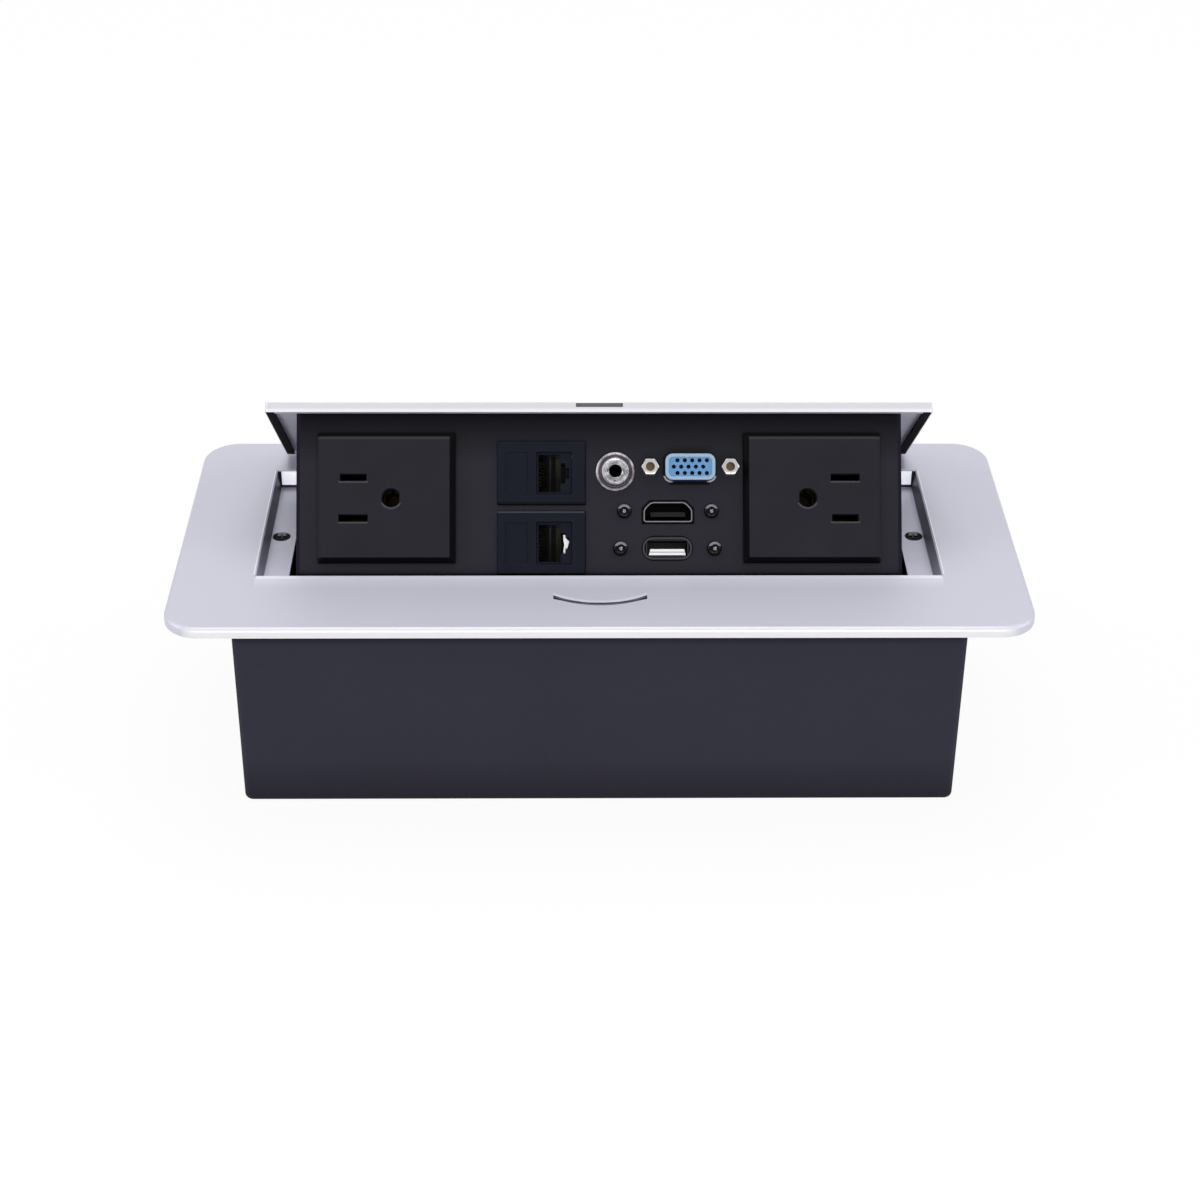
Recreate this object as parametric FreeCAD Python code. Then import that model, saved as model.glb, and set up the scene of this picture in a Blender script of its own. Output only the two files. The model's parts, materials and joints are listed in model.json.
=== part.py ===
import FreeCAD, Part
import math
import os
from FreeCAD import Vector

# Pop-up desk outlet, in millimetres. X is to the right, Y to the back and Z up. The origin is the
# middle of the box's underside. The tray and its lid are drawn shut, then swung open about the hinge,
# because the part is kept with its tray open.

# Face plate and the opening in it
plate_width = 265.0
plate_depth = 118.0
plate_thick = 3.25
plate_corner = 11.5
plate_round = 1.3
ledge_width = 8.9
opening_depth = 67.1
opening_shift = 5.91
opening_bevel = 0.4
front_bevel = 2.2
seat_depth = 0.3
seat_gap = 0.3
well_depth = 7.0
well_wall = 1.5
well_draft = 1.0
ledge_gap = 3.3
arc_half_width = 14.3
arc_sag = 2.9
arc_from_front = 14.6
arc_groove = 0.9
arc_groove_depth = 0.5
plate_screw_from_tray = 8.1
plate_screw_y = 7.7
plate_screw_head = 3.0
plate_screw_sink = 1.4

# Lower box
box_beyond_well = 2.9
box_height = 66.0
box_wall = 1.2
box_bend = 1.6
fixing_hole = 4.5
fixing_spacing = 60.0
fixing_drop = 20.0
cable_bore = 6.0
grommet_radius = 9.0
grommet_lip = 2.2
cable_spacing = 120.0
cable_height = 22.0

# Hinge and swing
open_angle = 41.157
hinge_behind = 7.41
hinge_to_wall = 3.93
hinge_drop = 15.9
pin_radius = 2.0
pin_clearance = 0.05
boss_radius = 3.5
sweep_clearance = 0.42
bracket_sheet = 2.0
bracket_height = 15.0
rivet_radius = 1.5
rivet_head = 1.0
rivet_flange = 2.6
rivet_from_tray = 10.4
washer_thick = 1.0
side_clearance = 0.3

# Lid
lid_thick = 3.15
lid_front_gap = 0.5
lid_side_gap = 2.57
lid_back_gap = 2.5
lid_rim = 2.0
lid_pocket = 1.65
lid_rear_rim = 2.6
lid_notch_width = 14.7
lid_notch_height = 1.55
lid_notch_depth = 1.0
seal_width = 2.6
seal_thick = 0.8

# Tray
sheet = 1.5
panel_lean = 6.446
panel_setback = 2.5
stop_lip = 4.0
stop_gap = 0.3
stop_pad_thick = 0.8
tray_floor_back = 12.0
neck_half = 2.5
flange_width = 11.0
flange_length = 50.0
weld_width = 6.5
vent_across = 55.0
vent_half = 12.0
vent_margin = 6.0
tie_bar_front = 14.0
tie_bar_width = 13.0
tie_bar_height = 27.0
lid_screw_radius = 1.5

# Damper and its gears
gear_module = 1.2
sector_teeth = 50
pinion_teeth = 10
mesh_angle = -35.0
backlash = 0.24
gear_thick = 3.0
sector_inner = 19.0
sector_rivet_radius = 1.25
damper_radius = 10.0
damper_gap = 2.4
shaft_radius = 2.0
damper_ear = 3.5

# Hinge springs
spring_wire = 0.9
spring_mean = 3.0
spring_turns = 3
spring_leg = 15.0
spring_leg_angle = 20.0
spring_gap = 0.12
spring_to_arm = 1.4
post_radius = 1.0

# Push latch
latch_y = 20.5
latch_size = 12.0
latch_top = 19.5
plunger_radius = 3.0
plunger_clearance = 0.07
latch_travel = 4.0
latch_screw_out = 4.0
plunger_foot = 10.0
plunger_flange = 2.0
latch_wire = 0.6
magnet_thick = 0.8
strike_thick = 0.8

# Sockets: the places on the panel are across from its middle and down from the lid's underside. The
# outlets stand beside the ports, and the tray, the opening and the box are as wide as they need
socket_from_post = 1.205
socket_from_end = 6.85
socket_down = 26.6
socket_width = 42.9
socket_height = 40.8
socket_raise = 3.0
socket_chamfer = 1.8
socket_body_width = 37.0
socket_body_height = 35.0
socket_body_depth = 24.0
blade_offset = 10.35
blade_spacing = 12.7
blade_slot = 2.3
line_slot_length = 8.3
neutral_slot_length = 9.1
earth_offset = 1.45
earth_radius = 3.0
contact_sheet = 0.6
contact_depth = 7.0

# Data modules
module_across = -18.15
module_width = 27.7
module_height = 20.1
module_top = 18.74
module_pitch = 21.94
module_raise = 1.2
module_step = 1.4
jack_offset = 4.0
jack_aperture_width = 11.1
jack_aperture_height = 13.3
jack_depth = 22.0
jack_cavity_height = 11.7
jack_cavity_width = 6.9
jack_cavity_depth = 13.0

# Sound jack
audio_across = 4.95
audio_down = 18.23
audio_flange = 6.15
audio_barrel = 3.0
audio_bore = 1.8

# Video ports and the charging port
vga_across = 28.3
vga_down = 17.03
vga_width = 15.6
vga_height = 8.2
vga_corner = 2.6
vga_rise = 4.2
vga_screw_spacing = 24.99
vga_post_radius = 2.95
vga_pin_across = 2.29
vga_pin_down = 1.98
vga_pin_bore = 0.62
hdmi_across = 21.4
hdmi_down = 30.93
hdmi_width = 15.2
hdmi_height = 6.3
hdmi_screw_spacing = 27.3
usb_across = 21.2
usb_down = 42.28
usb_width = 15.3
usb_height = 6.9
usb_screw_spacing = 29.4
port_depth = 10.0
port_screw_head = 2.3
port_carrier_depth = 20.0
port_fit = 0.1

# Places worked out from the sizes above
X_AXIS = Vector(1, 0, 0)
desk = box_height
plate_top = desk + plate_thick
plate_under = desk + seat_depth
socket_across = vga_across + vga_screw_spacing / 2 + vga_post_radius + socket_from_post + socket_width / 2
tray_width = 2 * (socket_across + socket_width / 2 + socket_from_end)
opening_width = tray_width + 2 * (ledge_gap + ledge_width)
box_width = opening_width + 2 * (well_wall + box_beyond_well + box_wall)
opening_front = opening_shift - opening_depth / 2
opening_back = opening_shift + opening_depth / 2
hinge_y = opening_back + hinge_behind
box_depth = 2 * (hinge_y + hinge_to_wall + box_wall)
hinge_z = desk - hinge_drop
hinge = Vector(0, hinge_y, hinge_z)
sweep_radius = math.hypot(hinge_y - opening_back, plate_top - hinge_z) + sweep_clearance
half_tray = tray_width / 2
ledge_inner = half_tray + ledge_gap
ledge_top = plate_top - well_depth
ledge_under = ledge_top - well_wall
lid_under = plate_top - lid_thick
lid_front = opening_front + lid_front_gap
lid_back = opening_back - lid_back_gap
lid_half = opening_width / 2 - lid_side_gap
pocket_ceiling = lid_under + lid_pocket
panel_front = lid_front + panel_setback
open_lean = math.radians(open_angle - panel_lean)
open_turn = math.radians(open_angle)
panel_top_open = (hinge_z + (hinge_y - panel_front) * math.sin(open_turn)
                  + (lid_under - hinge_z) * math.cos(open_turn))
stop_down = (panel_top_open + stop_lip * math.sin(open_lean) - plate_under + stop_gap) / math.cos(open_lean)
panel_length = stop_down + stop_pad_thick + sheet
pitch_radius = gear_module * sector_teeth / 2
pinion_pitch = gear_module * pinion_teeth / 2
pinion_y = hinge_y - (pitch_radius + pinion_pitch) * math.cos(math.radians(mesh_angle))
pinion_z = hinge_z + (pitch_radius + pinion_pitch) * math.sin(math.radians(mesh_angle))
plate_screw_x = half_tray + plate_screw_from_tray
rivet_x = half_tray + rivet_from_tray
rivet_heights = (hinge_z - bracket_height / 4, hinge_z + bracket_height / 4)
damper_rivets = (pinion_y - damper_radius - damper_ear, pinion_y + damper_radius + damper_ear)
sector_rivet_angles = (mesh_angle - open_angle + 2, mesh_angle + 4)
latch_screw_x = latch_size / 2 + latch_screw_out
latch_tip = tie_bar_height - strike_thick - side_clearance
plunger_shoulder = plunger_foot + plunger_flange
spring_width = (spring_turns + 0.3) * (spring_wire + spring_gap) + spring_wire


def block(x0, x1, y0, y1, z0, z1):
    """A box between two corners, given low and high along each axis"""
    return Part.makeBox(x1 - x0, y1 - y0, z1 - z0, Vector(x0, y0, z0))


def rod(radius, start, end):
    """A round bar from one point to another"""
    along = Vector(end) - Vector(start)
    return Part.makeCylinder(radius, along.Length, Vector(start), along)


def across(radius, y, z, x0, x1):
    """A round bar that lies along X"""
    return Part.makeCylinder(radius, x1 - x0, Vector(x0, y, z), X_AXIS)


def side_prism(points, x0, x1):
    """An outline of (y, z) points, given thickness along X"""
    corners = [Vector(x0, y, z) for y, z in points]
    face = Part.Face(Part.makePolygon(corners + corners[:1]))
    return face.extrude(Vector(x1 - x0, 0, 0))


def front_prism(points, y0, y1):
    """An outline of (x, z) points, given thickness along Y"""
    corners = [Vector(x, y0, z) for x, z in points]
    face = Part.Face(Part.makePolygon(corners + corners[:1]))
    return face.extrude(Vector(0, y1 - y0, 0))


def soften(shape, axis, radius):
    """Round the straight edges that run along one axis"""
    edges = []
    for edge in shape.Edges:
        if edge.Curve.TypeId != "Part::GeomLine":
            continue
        if abs(abs(edge.tangentAt(edge.FirstParameter).dot(axis)) - 1) < 1e-6:
            edges.append(edge)
    return shape.makeFillet(radius, edges)


def pill(width, height, radius, x, z, y0, y1):
    """A rounded rectangle about (x, z), given thickness along Y"""
    plain = block(x - width / 2, x + width / 2, y0, y1, z - height / 2, z + height / 2)
    return soften(plain, Vector(0, 1, 0), radius)


def joined(shapes):
    """One solid from pieces that touch or cross"""
    first = shapes[0]
    return first.fuse(shapes[1:]).removeSplitter() if len(shapes) > 1 else first


def mirrored(shape):
    """The same shape on the other side of the middle"""
    return shape.mirror(Vector(0, 0, 0), X_AXIS)


def opened(shape):
    """Swing a shape that was drawn shut into its open place"""
    swung = shape.copy()
    swung.rotate(hinge, X_AXIS, -open_angle)
    return swung


def leaned(shape):
    """Lay a shape drawn upright at the panel's own origin on the panel of the shut tray"""
    laid = shape.copy()
    laid.rotate(Vector(0, 0, 0), X_AXIS, panel_lean)
    laid.translate(Vector(0, panel_front, lid_under))
    return laid


def on_panel(shape):
    """Lay a shape drawn upright at the panel's own origin on the panel of the open tray"""
    return opened(leaned(shape))


def panel_point(down, out=0.0):
    """The (y, z) of a point on the shut panel, down from the lid's underside and out to the front"""
    lean = math.radians(panel_lean)
    y = panel_front + down * math.sin(lean) - out * math.cos(lean)
    z = lid_under - down * math.cos(lean) - out * math.sin(lean)
    return y, z


def about_hinge(radius, angle, offset=0.0):
    """The (y, z) at a radius from the hinge, at an angle up from the front, and offset downward"""
    turn = math.radians(angle)
    y = hinge_y - radius * math.cos(turn) - offset * math.sin(turn)
    z = hinge_z + radius * math.sin(turn) - offset * math.cos(turn)
    return y, z


def keep(name, *shapes):
    """Write one node: a solid, or a group of like solids that don't touch"""
    solids = [solid for shape in shapes for solid in shape.Solids]
    whole = solids[0] if len(solids) == 1 else Part.makeCompound(solids)
    whole.exportStep("parts/" + name + ".step")


def face_plate():
    """The plate on the desk: a broad rim around a well with a ledge at each end"""
    rim = block(-plate_width / 2, plate_width / 2, -plate_depth / 2, plate_depth / 2, desk, plate_top)
    rim = soften(rim, Vector(0, 0, 1), plate_corner)
    top_edges = [edge for edge in rim.Edges if edge.BoundBox.ZMin > plate_top - 0.01]
    rim = rim.makeFillet(plate_round, top_edges)
    seat_x, seat_y = box_width / 2 + seat_gap, box_depth / 2 + seat_gap
    rim = rim.cut(block(-seat_x, seat_x, -seat_y, seat_y, desk - 1, plate_under))
    outer = opening_width / 2 + well_wall
    front, back = opening_front - well_wall, opening_back + well_wall
    end_well = block(ledge_inner, outer, front, back, ledge_under, plate_under)
    back_wall = block(-outer, outer, opening_back, back, ledge_top, plate_under)
    plate = joined([rim, end_well, mirrored(end_well), back_wall])
    half = opening_width / 2
    floor = half - well_draft
    hollow = front_prism([(-half, plate_top), (-floor, ledge_top), (floor, ledge_top), (half, plate_top)],
                         opening_front, opening_back)
    passage = block(-ledge_inner, ledge_inner, opening_front, opening_back, ledge_under - 1, plate_top)
    plate = plate.cut([hollow, passage])
    bevelled = []
    for edge in plate.Edges:
        box = edge.BoundBox
        flat = box.ZMin > plate_top - 0.01
        inside = abs(box.XMin) < half + 1 and box.YMin > opening_front - 1 and box.YMax > opening_front + 1
        if flat and inside and box.YMax < opening_back + 1:
            bevelled.append(edge)
    plate = plate.makeChamfer(opening_bevel, bevelled)
    foot = plate_top - opening_bevel
    slope = [(opening_front - front_bevel, plate_top), (opening_front + 1, plate_top + 1),
             (opening_front + 1, foot), (opening_front, foot)]
    plate = plate.cut(side_prism(slope, -half, half))
    for side in (-1, 1):
        x = side * plate_screw_x
        seat = Part.makeCone(1.6, plate_screw_head, plate_screw_sink,
                             Vector(x, plate_screw_y, ledge_top - plate_screw_sink))
        hole = rod(1.6, (x, plate_screw_y, ledge_under - 1), (x, plate_screw_y, ledge_top))
        plate = plate.cut([seat, hole])
    return plate.cut(arc_mark())


def arc_mark():
    """The engraved arc on the front margin that shows where to press"""
    low = -plate_depth / 2 + arc_from_front
    radius = (arc_half_width ** 2 + arc_sag ** 2) / (2 * arc_sag)
    centre = Vector(0, low + radius, plate_top - arc_groove_depth)
    reach = math.degrees(math.asin(arc_half_width / radius))
    outer = Part.makeCylinder(radius + arc_groove / 2, 2, centre, Vector(0, 0, 1), 2 * reach)
    inner = Part.makeCylinder(radius - arc_groove / 2, 3, centre - Vector(0, 0, 0.5), Vector(0, 0, 1))
    outer.rotate(centre, Vector(0, 0, 1), 270 - reach)
    return outer.cut(inner)


def plate_screws():
    """Countersunk screws through the ledges into the side brackets"""
    screws = []
    for side in (-1, 1):
        x = side * plate_screw_x
        head = Part.makeCone(1.45, plate_screw_head - 0.15, plate_screw_sink - 0.1,
                             Vector(x, plate_screw_y, ledge_top - plate_screw_sink))
        shank = rod(1.45, (x, plate_screw_y, ledge_under - 6), (x, plate_screw_y, ledge_top - 0.5))
        cross = [block(x - 1.6, x + 1.6, plate_screw_y - 0.3, plate_screw_y + 0.3, ledge_top - 1, ledge_top),
                 block(x - 0.3, x + 0.3, plate_screw_y - 1.6, plate_screw_y + 1.6, ledge_top - 1, ledge_top)]
        screws.append(joined([head, shank]).cut(cross))
    return screws


def lower_box():
    """The folded steel box under the desk, open at the top"""
    w, d = box_width / 2, box_depth / 2
    outer = soften(block(-w, w, -d, d, 0, plate_under), Vector(0, 0, 1), box_bend + box_wall)
    low = [edge for edge in outer.Edges if edge.BoundBox.ZMax < 0.01]
    outer = outer.makeFillet(box_bend, low)
    t = box_wall
    inner = block(-w + t, w - t, -d + t, d - t, t, plate_under + 1)
    box = outer.cut(soften(inner, Vector(0, 0, 1), box_bend))
    z = desk - fixing_drop
    holes = [across(fixing_hole / 2, side * fixing_spacing / 2, z, -w - 1, w + 1) for side in (-1, 1)]
    holes += [rod(grommet_radius, (side * cable_spacing / 2, d - 5, cable_height),
                  (side * cable_spacing / 2, d + 5, cable_height)) for side in (-1, 1)]
    holes += [rod(rivet_radius, (side * rivet_x, d - 5, z0), (side * rivet_x, d + 5, z0))
              for side in (-1, 1) for z0 in rivet_heights]
    holes += [across(rivet_radius, y, pinion_z, -w - 1, -w + 5) for y in damper_rivets]
    holes += [rod(rivet_radius, (side * latch_screw_x, latch_y, -1), (side * latch_screw_x, latch_y, 5))
              for side in (-1, 1)]
    return box.cut(holes)


def side_bracket():
    """The right-hand angle that joins the box's side to the ledge above it"""
    wall = box_width / 2 - box_wall
    front, back = plate_screw_y - 10, plate_screw_y + 10
    top = block(ledge_inner + 1, wall, front, back, ledge_under - sheet, ledge_under)
    leg = block(wall - sheet, wall, front, back, ledge_under - 16, ledge_under)
    angle = joined([top, leg])
    corner = [edge for edge in angle.Edges if abs(edge.BoundBox.XMax - (wall - sheet)) < 0.01
              and abs(edge.BoundBox.XMin - (wall - sheet)) < 0.01
              and abs(edge.BoundBox.ZMin - (ledge_under - sheet)) < 0.01
              and abs(edge.BoundBox.ZMax - (ledge_under - sheet)) < 0.01]
    angle = angle.makeFillet(1.0, corner)
    return angle.cut(rod(1.47, (plate_screw_x, plate_screw_y, ledge_under - 5),
                         (plate_screw_x, plate_screw_y, ledge_under + 1)))


def hinge_bracket():
    """The right-hand angle riveted to the box's back wall, which holds the hinge pin"""
    wall = box_depth / 2 - box_wall
    inner = half_tray + side_clearance + washer_thick
    low, high = hinge_z - bracket_height / 2, hinge_z + bracket_height / 2
    outline = [(wall, low), (hinge_y - 2, low), (hinge_y - 6, hinge_z - 3), (hinge_y - 6, hinge_z + 3),
               (hinge_y - 2, high), (wall, high)]
    plate = side_prism(outline, inner, inner + bracket_sheet)
    foot = block(inner + bracket_sheet, rivet_x + 4.5, wall - bracket_sheet, wall, low, high)
    angle = joined([plate, foot])
    holes = [rod(rivet_radius, (rivet_x, wall - 5, z), (rivet_x, wall + 5, z)) for z in rivet_heights]
    holes.append(across(pin_radius, hinge_y, hinge_z, inner - 1, inner + bracket_sheet + 1))
    return angle.cut(holes)


def bracket_rivets():
    """Rivets through the box's back wall and the feet of the hinge brackets"""
    rivets = []
    wall = box_depth / 2
    for side in (-1, 1):
        for z in rivet_heights:
            x = side * rivet_x
            start = wall - box_wall - bracket_sheet
            shank = rod(rivet_radius, (x, start - rivet_head, z), (x, wall + rivet_head, z))
            heads = [rod(rivet_flange, (x, start - rivet_head, z), (x, start, z)),
                     rod(rivet_flange, (x, wall, z), (x, wall + rivet_head, z))]
            rivets.append(joined([shank] + heads))
    return rivets


def pivot_pin():
    """The right-hand hinge pin, pressed into its bracket, with a head at the inner end"""
    outer = half_tray + side_clearance + washer_thick + bracket_sheet
    inner = half_tray - sheet - spring_to_arm - spring_width - 1.0
    shank = across(pin_radius, hinge_y, hinge_z, inner, outer)
    head = across(3.4, hinge_y, hinge_z, inner - 1.2, inner)
    return joined([shank, head])


def pivot_washer():
    """The right-hand washer between the tray's arm and the bracket"""
    start = half_tray + side_clearance
    ring = across(boss_radius, hinge_y, hinge_z, start, start + washer_thick)
    return ring.cut(across(pin_radius, hinge_y, hinge_z, start - 1, start + washer_thick + 1))


def wound_wire(mean, wire, pitch, turns, leg):
    """A wire wound about Z, with a straight leg along the tangent at each end, or none"""
    helix = Part.makeHelix(pitch, pitch * turns, mean).Edges[0]
    start, stop = helix.valueAt(helix.FirstParameter), helix.valueAt(helix.LastParameter)
    leave, arrive = helix.tangentAt(helix.FirstParameter), helix.tangentAt(helix.LastParameter)
    path = [helix]
    if leg:
        path = [Part.makeLine(start - leave * leg, start), helix, Part.makeLine(stop, stop + arrive * leg)]
    circle = Part.makeCircle(wire / 2, start - leave * leg, leave)
    corners = [circle.valueAt(math.radians(60 * index)) for index in range(6)]
    section = Part.makePolygon(corners + corners[:1])
    return Part.Wire(path).makePipeShell([section], True, True)


def hinge_spring():
    """The right-hand torsion spring: one leg down the box's back wall, one under the arm's post"""
    pitch = spring_wire + spring_gap
    turns = spring_turns + (90 - spring_leg_angle) / 360
    wound = wound_wire(spring_mean, spring_wire, pitch, turns, spring_leg)
    wound.rotate(Vector(0, 0, 0), Vector(1, 1, 1), 120)
    outer = half_tray - sheet - spring_to_arm - spring_wire / 2
    wound.translate(Vector(outer - pitch * turns, hinge_y, hinge_z))
    return wound


def gear_tooth(module, teeth, middle, addendum, dedendum):
    """Points (radius, angle) of one tooth, from root to root, with involute sides"""
    pitch = module * teeth / 2
    base = pitch * math.cos(math.radians(20))

    def spread(radius):
        roll = math.sqrt(max((radius / base) ** 2 - 1, 0))
        return math.degrees(roll - math.atan(roll))

    half = 90 / teeth - math.degrees(backlash / 4 / pitch)
    root = pitch - dedendum * module
    tip = pitch + addendum * module
    steps = [max(base, root), pitch - (pitch - max(base, root)) * 0.4, pitch + (tip - pitch) * 0.5, tip]
    rise = [(root, half + spread(pitch) - spread(steps[0]))]
    rise += [(radius, half + spread(pitch) - spread(radius)) for radius in steps]
    left = [(radius, middle - angle) for radius, angle in rise]
    right = [(radius, middle + angle) for radius, angle in reversed(rise)]
    return left + right


def gear_sector():
    """The toothed sector on the tray's left side, about the hinge, drawn shut"""
    step = 360 / sector_teeth
    first = mesh_angle - open_angle - step
    count = math.ceil(open_angle / step) + 3
    outline = [(hinge_y, hinge_z)]
    for index in range(count):
        for radius, angle in gear_tooth(gear_module, sector_teeth, first + index * step, 0.85, 1.1):
            outline.append(about_hinge(radius, angle))
    inner = -half_tray
    slab = side_prism(outline, inner - gear_thick, inner)
    slab = slab.cut(across(sector_inner, hinge_y, hinge_z, inner - gear_thick - 1, inner + 1))
    holes = [across(sector_rivet_radius, *about_hinge(sector_inner + 4, angle), inner - gear_thick - 1,
                    inner + 1)
             for angle in sector_rivet_angles]
    return slab.cut(holes)


def sector_rivets():
    """Rivets that hold the sector to the tray's side"""
    rivets = []
    outer, inner = -half_tray - gear_thick, -half_tray + sheet
    for angle in sector_rivet_angles:
        y, z = about_hinge(sector_inner + 4, angle)
        shank = across(sector_rivet_radius, y, z, outer - 0.7, inner + 0.7)
        heads = [across(2.2, y, z, outer - 0.7, outer), across(2.2, y, z, inner, inner + 0.7)]
        rivets.append(joined([shank] + heads))
    return rivets


def damper_pinion():
    """The pinion on the damper's shaft, in mesh with the sector"""
    step = 360 / pinion_teeth
    outline = []
    for index in range(pinion_teeth):
        middle = mesh_angle + 180 + step / 2 + index * step
        for radius, angle in gear_tooth(gear_module, pinion_teeth, middle, 0.85, 1.1):
            turn = math.radians(angle)
            outline.append((pinion_y - radius * math.cos(turn), pinion_z + radius * math.sin(turn)))
    inner = -half_tray - side_clearance
    gear = side_prism(outline, -half_tray - gear_thick, inner)
    shaft = across(shaft_radius, pinion_y, pinion_z, -half_tray - gear_thick - damper_gap - 5,
                   -half_tray - gear_thick)
    return joined([gear, shaft])


def damper_body():
    """The sealed rotary damper on the box's left wall"""
    wall = -box_width / 2 + box_wall
    face = -half_tray - gear_thick - damper_gap
    drum = across(damper_radius, pinion_y, pinion_z, wall, face)
    drum = drum.makeChamfer(0.8, [edge for edge in drum.Edges if abs(edge.BoundBox.XMin - face) < 0.01])
    collar = across(shaft_radius + 2, pinion_y, pinion_z, face, face + 0.8)
    ear = block(wall, wall + 2, damper_rivets[0], damper_rivets[1], pinion_z - 4, pinion_z + 4)
    tips = [across(4, y, pinion_z, wall, wall + 2) for y in damper_rivets]
    body = joined([drum, collar, ear] + tips)
    holes = [across(rivet_radius, y, pinion_z, wall - 1, wall + 3) for y in damper_rivets]
    holes.append(across(shaft_radius + pin_clearance, pinion_y, pinion_z, face - 5.3, face + 1))
    return body.cut(holes)


def damper_rivet_set():
    """Rivets through the damper's ears and the box's left wall"""
    rivets = []
    wall = -box_width / 2
    for y in damper_rivets:
        inner = wall + box_wall + 2
        shank = across(rivet_radius, y, pinion_z, wall - rivet_head, inner + rivet_head)
        heads = [across(rivet_flange, y, pinion_z, wall - rivet_head, wall),
                 across(rivet_flange, y, pinion_z, inner, inner + rivet_head)]
        rivets.append(joined([shank] + heads))
    return rivets


def latch_housing():
    """The push latch's housing, screwed to the box's floor"""
    half = latch_size / 2
    low = box_wall
    post = soften(block(-half, half, latch_y - half, latch_y + half, low, latch_top), Vector(0, 0, 1), 1.5)
    foot = soften(block(-latch_screw_x - 3.5, latch_screw_x + 3.5, latch_y - half + 1, latch_y + half - 1,
                        low, low + 2), Vector(0, 0, 1), 2)
    body = joined([post, foot])
    narrow = rod(plunger_radius + plunger_clearance, (0, latch_y, low), (0, latch_y, latch_top + 1))
    wide = rod(plunger_radius + 0.6 + plunger_clearance, (0, latch_y, low - 1),
               (0, latch_y, plunger_shoulder + side_clearance))
    holes = [rod(rivet_radius, (x, latch_y, low - 1), (x, latch_y, low + 3))
             for x in (-latch_screw_x, latch_screw_x)]
    return body.cut([narrow, wide] + holes)


def latch_plunger():
    """The plunger that slides in the latch, with a seat for the magnet"""
    stem = rod(plunger_radius, (0, latch_y, plunger_foot), (0, latch_y, latch_tip))
    flange = rod(plunger_radius + 0.6, (0, latch_y, plunger_foot), (0, latch_y, plunger_shoulder))
    seat = rod(2.2, (0, latch_y, latch_tip - magnet_thick), (0, latch_y, latch_tip + 1))
    hollow = rod(2.6, (0, latch_y, plunger_foot - 1), (0, latch_y, plunger_foot + 0.6))
    return joined([stem, flange]).cut([seat, hollow])


def latch_magnet():
    """The magnet in the plunger's tip"""
    return rod(2.2, (0, latch_y, latch_tip - magnet_thick), (0, latch_y, latch_tip))


def latch_spring():
    """The compression spring under the plunger"""
    height = plunger_foot + 0.6 - box_wall - latch_wire - 0.1
    wound = wound_wire(2.1, latch_wire, height / 4, 4, 0)
    wound.translate(Vector(0, latch_y, box_wall + latch_wire / 2 + 0.05))
    return wound


def latch_screws():
    """Screws through the box's floor and the latch's foot"""
    screws = []
    for side in (-1, 1):
        x = side * latch_screw_x
        shank = rod(rivet_radius, (x, latch_y, box_wall - 0.9), (x, latch_y, box_wall + 2))
        head = rod(2.6, (x, latch_y, box_wall + 2), (x, latch_y, box_wall + 3.4))
        screws.append(joined([shank, head]))
    return screws


def cable_grommet():
    """The right-hand rubber grommet in the box's back wall"""
    x, wall = cable_spacing / 2, box_depth / 2
    outer = grommet_radius + grommet_lip
    body = rod(grommet_radius, (x, wall - box_wall, cable_height), (x, wall, cable_height))
    lips = [rod(outer, (x, wall, cable_height), (x, wall + 1.6, cable_height)),
            rod(outer, (x, wall - box_wall - 1.6, cable_height), (x, wall - box_wall, cable_height))]
    bore = rod(cable_bore, (x, wall - 8, cable_height), (x, wall + 8, cable_height))
    return joined([body] + lips).cut(bore)


def lid():
    """The lid, drawn shut: a shallow pan with a notch in front, its back scooped round the hinge"""
    pan = block(-lid_half, lid_half, lid_front, lid_back, lid_under, plate_top)
    pan = soften(pan, Vector(0, 0, 1), 0.8)
    top = [edge for edge in pan.Edges if edge.BoundBox.ZMin > plate_top - 0.01]
    pan = pan.makeFillet(0.3, top)
    scoop = across(sweep_radius, hinge_y, hinge_z, -lid_half - 1, lid_half + 1)
    pocket_back = hinge_y - math.sqrt(sweep_radius ** 2 - (lid_under - hinge_z) ** 2) - lid_rear_rim
    pocket_half = lid_half - seal_width - 0.2
    pocket = block(-pocket_half, pocket_half, lid_front + lid_rim, pocket_back, lid_under - 1, pocket_ceiling)
    notch = block(-lid_notch_width / 2, lid_notch_width / 2, lid_front - 1, lid_front + lid_notch_depth,
                  plate_top - lid_notch_height, plate_top + 1)
    holes = [rod(lid_screw_radius, (x, y, pocket_ceiling - 1), (x, y, pocket_ceiling + 0.9))
             for x, y in lid_screw_places()]
    return pan.cut([scoop, pocket, notch] + [seal_strip(side) for side in (-1, 1)] + holes)


def lid_screw_places():
    """The (x, y) of the screws that hold the lid to the tray's flanges"""
    x = half_tray - sheet - flange_width / 2
    return [(side * x, y) for side in (-1, 1) for y in (panel_front + 12, panel_front + 44)]


def seal_strip(side):
    """A strip let into the lid's underside along one end, drawn shut"""
    edge = side * (lid_half - 0.2)
    inner = edge - side * seal_width
    back = hinge_y - math.sqrt(sweep_radius ** 2 - (lid_under + seal_thick - hinge_z) ** 2) - 1.5
    return block(min(edge, inner), max(edge, inner), lid_front + 0.5, back, lid_under, lid_under + seal_thick)


def lid_screws():
    """Pan-head screws up through the tray's flanges into the lid"""
    screws = []
    for x, y in lid_screw_places():
        shank = rod(lid_screw_radius, (x, y, pocket_ceiling - sheet), (x, y, pocket_ceiling + 0.9))
        head = rod(2.7, (x, y, pocket_ceiling - sheet - 1.6), (x, y, pocket_ceiling - sheet))
        screws.append(joined([shank, head]))
    return screws


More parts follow.
